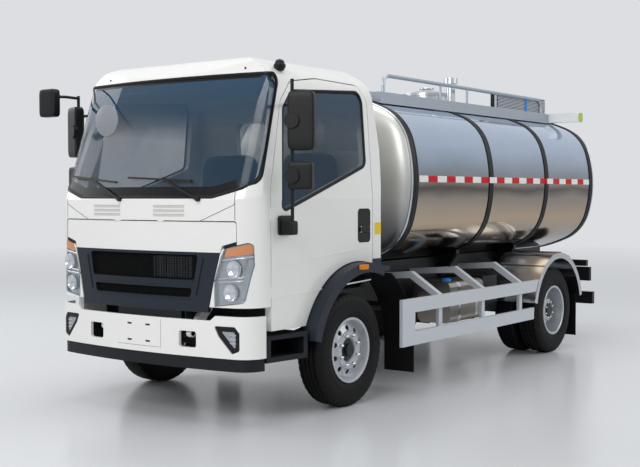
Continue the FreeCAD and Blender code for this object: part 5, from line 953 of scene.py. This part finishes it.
def strip_on(place, points, half_width, low, high):
    """A thin raised strip that follows a line of points on a curved panel."""
    points = np.asarray(points, float)
    share = np.linspace(0, 1, 12, endpoint=False)[None, :, None]
    fine = (points[:-1][:, None] + (points[1:] - points[:-1])[:, None] * share).reshape(-1, 2)
    fine = np.concatenate([fine, points[-1:]])
    along = np.gradient(fine, axis=0)
    along /= np.linalg.norm(along, axis=1)[:, None]
    off = np.stack([-along[:, 1], along[:, 0]], 1)
    section = [(-1.0, low), (-0.9, high), (0.9, high), (1.0, low)]
    columns = [place(*(fine + off * half_width * share).T, -height) for share, height in section]
    return grid_part(capped(np.stack(columns, 1)), close_columns=True)


seam_dark = finish("panel_gap_dark", "#1D1F22", 0.6, grain_mm=5, tone=0.1)
seams = [strip_on(front_spot, line, 0.0022, -0.001, 0.0006) for line in SEAM_LINES]
piece("front_panel_seams", both(joined(seams)), seam_dark, "cab")
louvres = [(low, high, z) for low, high in LOUVRE_SPANS for z in LOUVRE_ROWS]
slots = [outline_of(oblong(low, high, z, z + LOUVRE_TALL, 0.005), 0.03) for low, high, z in louvres]
slots = [plate(slot, front_spot, -0.001, 0.0012, 0.0008) for slot in slots]
louvre_grey = finish("louvre_shadow_enamel", "#C9C8C4", 0.4, grain_mm=20, tone=0.03)
piece("front_louvres", joined(slots), louvre_grey, "cab")
lips = [strip_on(front_spot, [(low, z + LIP_RISE), (high, z + LIP_RISE)], 0.005, 0.0, 0.006)
        for low, high, z in louvres]
piece("front_louvre_lips", joined(lips), white_enamel, "cab")
gasket = plate(outline_of(GASKET), front_spot, GASKET_BACK, GASKET_FACE)
piece("headlamp_gaskets", both(gasket), black_trim, "cab")


# Grille: behind its open slots are a mesh of flattened wire, a strip of the radiator's fins and a
# matt black sheet, painted shade for the dark space behind the grille; raised ribs are moulded on
# its face. All of it rides on the service flap.
WIRE_HALF, WIRE_BACK, WIRE_FACE, WIRE_STEP, WIRE_ROW = 0.0014, -0.0235, -0.0205, 0.026, 0.018
WIRE_FIELDS = ((1.068, 1.24, 0.545), (0.94, 0.994, 0.5))  # low, high, half width
# Fields of the matt black sheet that paints shade behind the mesh: low, high, half width.
SHADE_SHEET_FIELDS = ((0.925, 1.01, 0.53), (1.052, 1.256, 0.585))
FIN_LEFT, FIN_RIGHT, FIN_STEP, FIN_LOW, FIN_HIGH = 0.13, 0.5, 0.0115, 1.075, 1.235
GRILLE_RIBS = (  # the line, half the width, how far it stands out
    ([(-0.555, 1.253), (0.555, 1.253)], 0.005, 0.004), ([(-0.535, 1.052), (0.535, 1.052)], 0.0055, 0.004),
    ([(-0.52, 1.014), (0.52, 1.014)], 0.0045, 0.0032), ([(-0.505, 0.922), (0.505, 0.922)], 0.005, 0.0036),
    ([(-0.62, 1.22), (-0.555, 0.95)], 0.0045, 0.0036), ([(0.62, 1.22), (0.555, 0.95)], 0.0045, 0.0036))

wire = []
for low, high, half in WIRE_FIELDS:
    lines = [[(x, low), (x, high)] for x in np.arange(-half, half + 0.001, WIRE_STEP)]
    lines += [[(-half, z), (half, z)] for z in np.arange(low, high, WIRE_ROW)]
    wire += [strip_on(front_spot, line, WIRE_HALF, WIRE_BACK, WIRE_FACE) for line in lines]
mesh_matt = finish(
    "grille_mesh_matt_black", "#0A0B0C", 0.85, grain_mm=2, tone=0.15, Specular_IOR_Level=0.15)
piece("grille_mesh", joined(wire), mesh_matt, "front_flap")
# A matt black sheet behind the mesh and fins: painted shade for the dark space behind the grille.
shade_sheets = [plate(outline_of(oblong(-half, half, low, high, 0.01), 0.04), front_spot, -0.034, -0.029)
           for low, high, half in SHADE_SHEET_FIELDS]
piece("grille_painted_shade_sheet", joined(shade_sheets), mesh_matt, "front_flap")
fin_lines = [strip_on(front_spot, [(x, FIN_LOW), (x, FIN_HIGH)], 0.0032, -0.029, -0.0265)
             for x in np.arange(FIN_LEFT, FIN_RIGHT, FIN_STEP)]
piece("radiator_glimpse", joined(fin_lines), radiator_fins, "front_flap")
facets = [strip_on(front_spot, line, width, 0.0, height) for line, width, height in GRILLE_RIBS]
piece("grille_ribs", joined(facets), navy_trim, "front_flap")


# Mirrors: each door has two moulded cases on a long bent tube, with silvered glass that faces
# back. On the right side a round mirror hangs ahead of the windscreen, and a third case sits on
# an arm of the door's tube, ahead of the cab's corner.
DISC = [(0.0, 0.0), (0.0, 0.1), (0.003, 0.12), (0.01, 0.126), (0.018, 0.124), (0.026, 0.09),
        (0.031, 0.04), (0.032, 0.0)]
DISC_SPOT = np.array([-0.4, -3.215, 2.27])
DISC_ARM = [(-0.857, -2.925, 2.585), (-0.8, -3.0, 2.56), (-0.64, -3.13, 2.43), (-0.48, -3.19, 2.33),
            (-0.4, -3.206, 2.28)]
TUBE_X, TUBE_Y, TUBE_LOW, TUBE_HIGH = 1.15, -2.858, 1.462, 2.53
TUBE_RADIUS, HEAD_TURN = 0.013, math.radians(22)
ARM_RADIUS, TOP_ARM = 0.012, [(TUBE_X, TUBE_Y, 2.36), (1.06, -2.78, 2.36), (0.985, -2.722, 2.36)]
# Half sizes and places of the tube's foot clamp and of the base on the door.
CLAMP_HALF, CLAMP_SPOT = (0.061, 0.044, 0.053), (1.102, -2.844, 1.445)
BASE_HALF, BASE_SPOT = (0.012, 0.078, 0.073), (1.053, -2.82, 1.462)
HEADS = ((2.225, 0.205, 0.43), (1.825, 0.19, 0.205))  # height, width, length
HEAD_DEEP, HEAD_START, GLASS_THIN, GLASS_MARGIN = 0.085, -0.03, 0.002, 0.014
BOSS_X, BOSS_OUT, BOSS_IN, BOSS_RADIUS = 0.008, 0.016, 0.02, 0.056
LOOK_SPOT, LOOK_HALF = (-1.115, -3.198, 2.445), (0.095, 0.038, 0.115)
LOOK_GLASS = (0.082, GLASS_THIN, 0.1)
LOOK_ARM = [(-TUBE_X, TUBE_Y, 2.51), (-1.125, -3.02, 2.51), (-1.102, -3.18, 2.5)]


def soft_box(half, power=0.3, rows=24, columns=48):
    """A rounded box: the ball's coordinates raised to a power below one, times its half sizes."""
    rise = np.linspace(-np.pi / 2, np.pi / 2, rows)[:, None]
    turn = np.linspace(0, 2 * np.pi, columns, endpoint=False)[None, :]

    def eased(value):
        return np.sign(value) * np.abs(value) ** power

    grid = np.stack([
        half[0] * eased(np.cos(rise)) * eased(np.cos(turn)),
        half[1] * eased(np.cos(rise)) * eased(np.sin(turn)),
        half[2] * eased(np.sin(rise)) * np.ones_like(turn)], 2)
    return grid_part(grid, close_columns=True)


mirror_silver = finish(
    "mirror_silvered_glass", "#C4CCD3", 0.03, metallic=1.0, grain_mm=60, tone=0.02, uneven=0.01)
disc_rim = finish("disc_mirror_back_grey", "#8E9196", 0.35, metallic=0.3, grain_mm=9, tone=0.1)
points, faces = lathe(DISC, 64)
piece("disc_mirror", (points[:, [1, 0, 2]] * [1, -1, 1] + DISC_SPOT, faces), disc_rim, "cab")


def rod(points, radius, count=12):
    """A round bar along a line of points: a circle is set square to the way at each point."""
    points = np.asarray(points, float)
    way = np.gradient(points, axis=0)
    way /= np.linalg.norm(way, axis=1)[:, None]
    aid = np.where(np.abs(way[:, [2]]) > 0.9, [[1.0, 0, 0]], [[0, 0, 1.0]])
    beside = np.cross(way, aid)
    beside /= np.linalg.norm(beside, axis=1)[:, None]
    above = np.cross(beside, way)
    turn = np.linspace(0, 2 * np.pi, count, endpoint=False)
    ring = np.cos(turn)[None, :, None] * beside[:, None, :]
    ring = ring + np.sin(turn)[None, :, None] * above[:, None, :]
    return grid_part(capped(points[:, None, :] + ring * radius), close_columns=True)


piece("disc_mirror_arm", rod(DISC_ARM, 0.008), black_trim, "cab")


def on_tube(part, height, across):
    """A part of a mirror head turned about the tube towards the driver."""
    points, faces = part
    x, y = points[:, 0] + across, points[:, 1]
    return np.stack([
        TUBE_X + x * math.cos(HEAD_TURN) - y * math.sin(HEAD_TURN),
        TUBE_Y + x * math.sin(HEAD_TURN) + y * math.cos(HEAD_TURN), points[:, 2] + height], 1), faces


case = [rod([(TUBE_X, TUBE_Y, z) for z in np.linspace(TUBE_LOW, TUBE_HIGH, 6)], TUBE_RADIUS, 20),
        rod(TOP_ARM, ARM_RADIUS, 16), moved(soft_box(CLAMP_HALF, 0.25), CLAMP_SPOT),
        moved(soft_box(BASE_HALF, 0.25), BASE_SPOT)]
silvered = []
boss = rod([(BOSS_X, -HEAD_DEEP / 2 - BOSS_OUT, 0), (BOSS_X, -HEAD_DEEP / 2 + BOSS_IN, 0)], BOSS_RADIUS, 40)
for height, wide, tall in HEADS:
    across = HEAD_START + wide / 2
    head = soft_box((wide / 2 - 0.001, HEAD_DEEP / 2, tall / 2), 0.24, 32, 64)
    case.append(on_tube(head, height, across))
    case.append(on_tube(boss, height, 0))
    glass = soft_box((wide / 2 - GLASS_MARGIN, GLASS_THIN, tall / 2 - GLASS_MARGIN), 0.2)
    silvered.append(on_tube(moved(glass, (0, HEAD_DEEP / 2, 0)), height, across))
look = [rod(LOOK_ARM, ARM_RADIUS, 16), moved(soft_box(LOOK_HALF, 0.26, 32, 64), LOOK_SPOT)]
look_glass = moved(soft_box(LOOK_GLASS, 0.2), (LOOK_SPOT[0], LOOK_SPOT[1] + LOOK_HALF[1], LOOK_SPOT[2]))
mirror_black = finish(
    "mirror_case_black", "#060708", 0.45, grain_mm=1.4, tone=0.12, bump_mm=0.1, Specular_IOR_Level=0.3)
for side_word, sign, extra, extra_glass in (("left", 1, [], []), ("right", -1, look, [look_glass])):
    cases = piece(
        f"mirror_case_{side_word}", joined([moved(joined(case), scale=(sign, 1, 1))] + extra), mirror_black,
        f"door_{side_word}")
    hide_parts(f"mirror_{side_word}")
    piece(f"mirror_glass_{side_word}", joined([moved(joined(silvered), scale=(sign, 1, 1))] + extra_glass),
          mirror_silver, f"door_{side_word}")


# Seats: sprung cushions and backs in woven grey-blue cloth, crowned in the middle and bolted to
# the cab's floor. The driver's is on the left and a wider one is on the right.
SEATS = (("driver", 0.22, 0.72), ("mate", -0.7, -0.13))  # from x to x
CUSHION_Y, CUSHION_Z = (-2.355, -1.866), (1.201, 1.411)
BACK_Y, BACK_Z, CROWN = (-1.864, -1.616), (1.262, 2.04), 0.05


def crowned(low, high, crown, axis):
    """A stuffed block: a rounded box that swells by a cosine bulge along one axis."""
    low, high = np.array(low), np.array(high)
    half, middle = (high - low) / 2, (high + low) / 2
    points, faces = soft_box(half - np.eye(3)[axis] * crown / 2, 0.36, 28, 56)
    others = [way for way in range(3) if way != axis]
    swell = np.cos(np.clip(points[:, others[0]] / half[others[0]], -1, 1) * np.pi / 2) * \
        np.cos(np.clip(points[:, others[1]] / half[others[1]], -1, 1) * np.pi / 2)
    points[:, axis] += np.sign(points[:, axis]) * swell * crown / 2
    return points + middle, faces


seat_cloth = finish(
    "woven_seat_cloth", "#3F4A5C", 0.85, grain_mm=0.8, tone=0.25, bump_mm=0.25, Sheen_Weight=0.3)
for seat, from_x, to_x in SEATS:
    for part, (ahead, behind), (low, high), axis in (("cushion", CUSHION_Y, CUSHION_Z, 2),
                                                     ("back", BACK_Y, BACK_Z, 1)):
        block = crowned((from_x, ahead, low), (to_x, behind, high), CROWN, axis)
        stuffed = piece(f"seat_{part}_{seat}", block, seat_cloth, "cab")
        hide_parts("seats")


# Walkway: the deck, its side plates, handrails and ladder are welded aluminium, and raised
# treads chequer the deck. The sign box behind it is a plain white lamp box with a green end.
DECK_TOP, TREAD_HALF_LONG, TREAD_COLUMNS = 2.628, 0.012, (-0.48, -0.4, 0.4, 0.47)
SIGN_END_HALF, SIGN_END_SPOT = (0.004, 0.06, 0.052), (0.9385, 2.931, 2.582)


def level_at(height):
    """The place function of a flat surface at one height."""
    def spot(x, y, inset):
        return np.stack([x, y, height - inset + 0 * x], -1)
    return spot


deck_alloy = finish(
    "chequered_aluminium", "#A7AFB8", 0.32, metallic=0.8, grain_mm=11, tone=0.18, bump_mm=0.6)
coat(deck_alloy, "walkway")
coat(white_enamel, "sign_box")
box_edge = finish("sign_box_edge_green", "#A9C23B", 0.35, grain_mm=6, tone=0.1)
green_end = moved(soft_box(SIGN_END_HALF, 0.3, 24, 48), SIGN_END_SPOT)
piece("sign_box_end", green_end, box_edge, "chassis")
tread = []
for row, y in enumerate(np.arange(-0.7, 2.8, 0.075)):
    for column, x in enumerate(TREAD_COLUMNS):
        rise = TREAD_HALF_LONG if (row + column) % 2 else -TREAD_HALF_LONG
        line = [(x - TREAD_HALF_LONG, y - rise), (x + TREAD_HALF_LONG, y + rise)]
        tread.append(strip_on(level_at(DECK_TOP), line, 0.0028, 0.0, 0.0016))
piece("deck_treads", joined(tread), deck_alloy, "chassis")


# Door furniture: a black moulded recess with a pull handle, and two creases pressed along the
# door's enamelled skin.
RECESS = oblong(-1.845, -1.672, 1.3, 1.57, 0.03)
RECESS_RIM = [(0.004, -0.001), (0.002, 0.003), (-0.004, 0.003), (-0.008, -0.001)]
GRIP_HALF, GRIP_X, GRIP_Y, GRIP_Z = (0.0175, 0.068, 0.0275), 1.0455, -1.76, 1.405
CREASES = ([(-2.93, 1.163), (-1.66, 1.262)], [(-2.93, 0.93), (-1.66, 0.985)])
for side_word, sign in SIDES:
    spot = side_spot(sign)
    recess = outline_of(RECESS)
    dished = joined([border(recess, spot, RECESS_RIM), plate(recess, spot, 0.0002, 0.0012, 0.0005)])
    piece(f"door_recess_{side_word}", dished, black_trim, f"door_{side_word}")
    grip = moved(soft_box(GRIP_HALF, 0.3, 24, 48), (sign * GRIP_X, GRIP_Y, GRIP_Z))
    piece(f"door_grip_{side_word}", grip, black_trim, f"door_{side_word}")
    creases = [strip_on(spot, line, 0.006, -0.001, 0.0018) for line in CREASES]
    piece(f"door_creases_{side_word}", joined(creases), white_enamel, f"door_{side_word}")


# Lamps on the chassis: moulded tail lenses, white inside, red and then amber outwards. The fog
# lamps at the front are the same node and come out dark.
RED_FROM, AMBER_FROM = 0.76, 0.88
lens_cluster = finish(
    "tail_lamp_lenses", "#A01218", 0.16, grain_mm=6, tone=0.25, uneven=0.05, Coat_Weight=0.6)
tree = lens_cluster.node_tree
place_in = add_node(tree, "ShaderNodeTexCoord")
parted = add_node(tree, "ShaderNodeSeparateXYZ", {"Vector": place_in.outputs["Object"]})
outwards = add_node(tree, "ShaderNodeMath", {0: parted.outputs["X"]}, operation="ABSOLUTE")
bands = add_node(tree, "ShaderNodeValToRGB", {"Fac": outwards.outputs[0]})
bands.color_ramp.interpolation = "CONSTANT"
stops = bands.color_ramp.elements
stops.new(AMBER_FROM)
for stop, position, hex_colour in zip(
        stops, (0.0, RED_FROM, AMBER_FROM), ("#DADADA", "#A01218", "#D9731A")):
    stop.position, stop.color = position, linear(hex_colour)
behind = add_node(tree, "ShaderNodeMath", {0: parted.outputs["Y"]}, operation="GREATER_THAN")
behind.inputs[1].default_value = 0.0
chosen = add_node(
    tree, "ShaderNodeMix", {0: behind.outputs[0], 7: bands.outputs["Color"]}, data_type="RGBA")
chosen.inputs[6].default_value = linear("#2A2D31")
tree.links.new(chosen.outputs[2], tree.nodes["Principled BSDF"].inputs["Base Color"])
coat(lens_cluster, "chassis_lamps")


# Loose gear: a bundle of coated aluminium poles round a dark core lies along the rail, tied
# with a bright blue webbing strap.
POLE_RADIUS, POLE_START, POLE_END, CORE_START, POLE_STEP = 0.0055, 1.64, 2.866, 1.645, 0.0158
STRAP_Y, STRAP_SPREAD = 2.31, 25
CORE_SECTION = oblong(0.4335, 0.5165, 2.6285, 2.7975, 0.003)
STRAP_WAY = [(0.422, 2.63, 0.004), (0.528, 2.63, 0.004), (0.528, 2.8065, 0.008), (0.422, 2.8065, 0.008)]
STRAP_SECTION = [(0.0, 0.0), (0.0018, 0.0), (0.0018, 0.002), (0.0, 0.002)]


def belt_at(y, spread):
    """The place function of a belt round a section (x, z): its inset, times the spread, runs along y."""
    def spot(x, z, inset):
        return np.stack([x, y - spread * inset + 0 * x, z], -1)
    return spot


pole_spots = [(x, z) for z in np.arange(2.638, 2.796, POLE_STEP) for x in (0.4285, 0.5215)]
pole_spots += [(x, 2.8005) for x in np.arange(0.438, 0.52, POLE_STEP)]
poles = [
    rod([(x, POLE_START + 0.006 * (number % 3), z), (x, POLE_END - 0.003 * (number % 4), z)], POLE_RADIUS)
    for number, (x, z) in enumerate(pole_spots)]
sheath = outline_of(CORE_SECTION, 0.05, 3)
core_ends = [
    np.stack([sheath[:, 0], 0 * sheath[:, 0] + y, sheath[:, 1]], 1) for y in (CORE_START, POLE_END)]
piece("pole_core", grid_part(capped(np.stack(core_ends)), close_columns=True), step_black, "chassis")
strap_blue = finish("strap_webbing_blue", "#0A7FDB", 0.6, grain_mm=2, tone=0.15, bump_mm=0.1)
strap = border(outline_of(STRAP_WAY), belt_at(STRAP_Y, STRAP_SPREAD), STRAP_SECTION)
piece("pole_bundle", joined(poles), silver_coat, "chassis")
piece("pole_strap", strap, strap_blue, "chassis")


# Small parts: the fuel tank's blue moulded cap, a blank yellow label on the door pillar, amber
# lamps low on the cab's flanks, rubber plugs in the roof, and the plate panel's slots and lines.
CAP_SECTION = [(-0.01, 0.0), (-0.01, 0.048), (0.012, 0.048), (0.02, 0.043), (0.026, 0.03), (0.027, 0.0)]
CAP_SPOT = (0.8, 0.02, 0.852)
LABEL = oblong(-1.602, -1.505, 1.355, 1.455, 0.003)
SIDE_LAMP_HALF, SIDE_LAMP_SPOT = (0.01, 0.062, 0.021), (1.155, -1.93, 1.108)
PLUG_HALF, PLUG_SPOTS = (0.009, 0.009, 0.009), ((0.742, 2.632), (-0.697, 2.627))
SLOT_WIDE, SLOT_TALL, SLOT_LEFTS, SLOT_LOWS = 0.046, 0.014, (-0.12, 0.074), (0.575, 0.7)
PLATE_LINE = [(-0.23, 0.545), (0.23, 0.545), (0.23, 0.755)]

piece("fuel_filler_cap", upright(CAP_SECTION, CAP_SPOT, 40), strap_blue, "chassis")
label_yellow = finish("blank_label_yellow", "#E3C21C", 0.45, grain_mm=3, tone=0.05)
label = plate(outline_of(LABEL), side_spot(1), -0.0006, 0.0006, 0.0004)
piece("pillar_label", label, label_yellow, "cab")
side_lamp = moved(soft_box(SIDE_LAMP_HALF, 0.3, 16, 32), SIDE_LAMP_SPOT)
piece("side_marker_lamps", both(side_lamp), lamp_amber, "cab")
plugs = [moved(soft_box(PLUG_HALF, 0.8, 12, 24), front_spot(x, z, 0.002)) for x, z in PLUG_SPOTS]
piece("roof_plugs", joined(plugs), black_rubber, "cab")
plate_marks = [oblong(x, x + SLOT_WIDE, z, z + SLOT_TALL, 0.003) for x in SLOT_LEFTS for z in SLOT_LOWS]
plate_marks = [plate(outline_of(mark), bumper_spot, -0.001, 0.0008, 0.0005) for mark in plate_marks]
plate_marks.append(strip_on(bumper_spot, PLATE_LINE, 0.0012, -0.0006, 0.0005))
piece("bumper_plate_slots", joined(plate_marks), seam_dark, "chassis")


# Fuel tank straps: two hoops of bright pressed steel hold the tank to its brackets. The moulded
# entry steps have raised ribs for grip.
FUEL_SECTION, HOOP_STARTS, HOOP_SPREAD = oblong(0.538, 0.902, 0.448, 0.852, 0.062), (0.08, 0.42), 20
HOOP_SECTION = [(-0.0015, 0.0), (0.002, 0.0), (0.002, 0.0022), (-0.0015, 0.0022)]
STEP_TOP, STEP_LEFT, STEP_RIGHT = 0.657, 0.835, 1.075
fuel_ring = outline_of(FUEL_SECTION, 0.03)
hoops = [border(fuel_ring, belt_at(start, HOOP_SPREAD), HOOP_SECTION) for start in HOOP_STARTS]
piece("fuel_tank_straps", joined(hoops), bright_steel, "chassis")
ribs = [strip_on(level_at(STEP_TOP), [(STEP_LEFT, y), (STEP_RIGHT, y)], 0.0045, 0.0, 0.003)
        for y in np.arange(-2.99, -2.63, 0.032)]
piece("step_ribs", both(joined(ribs)), step_black, "chassis")
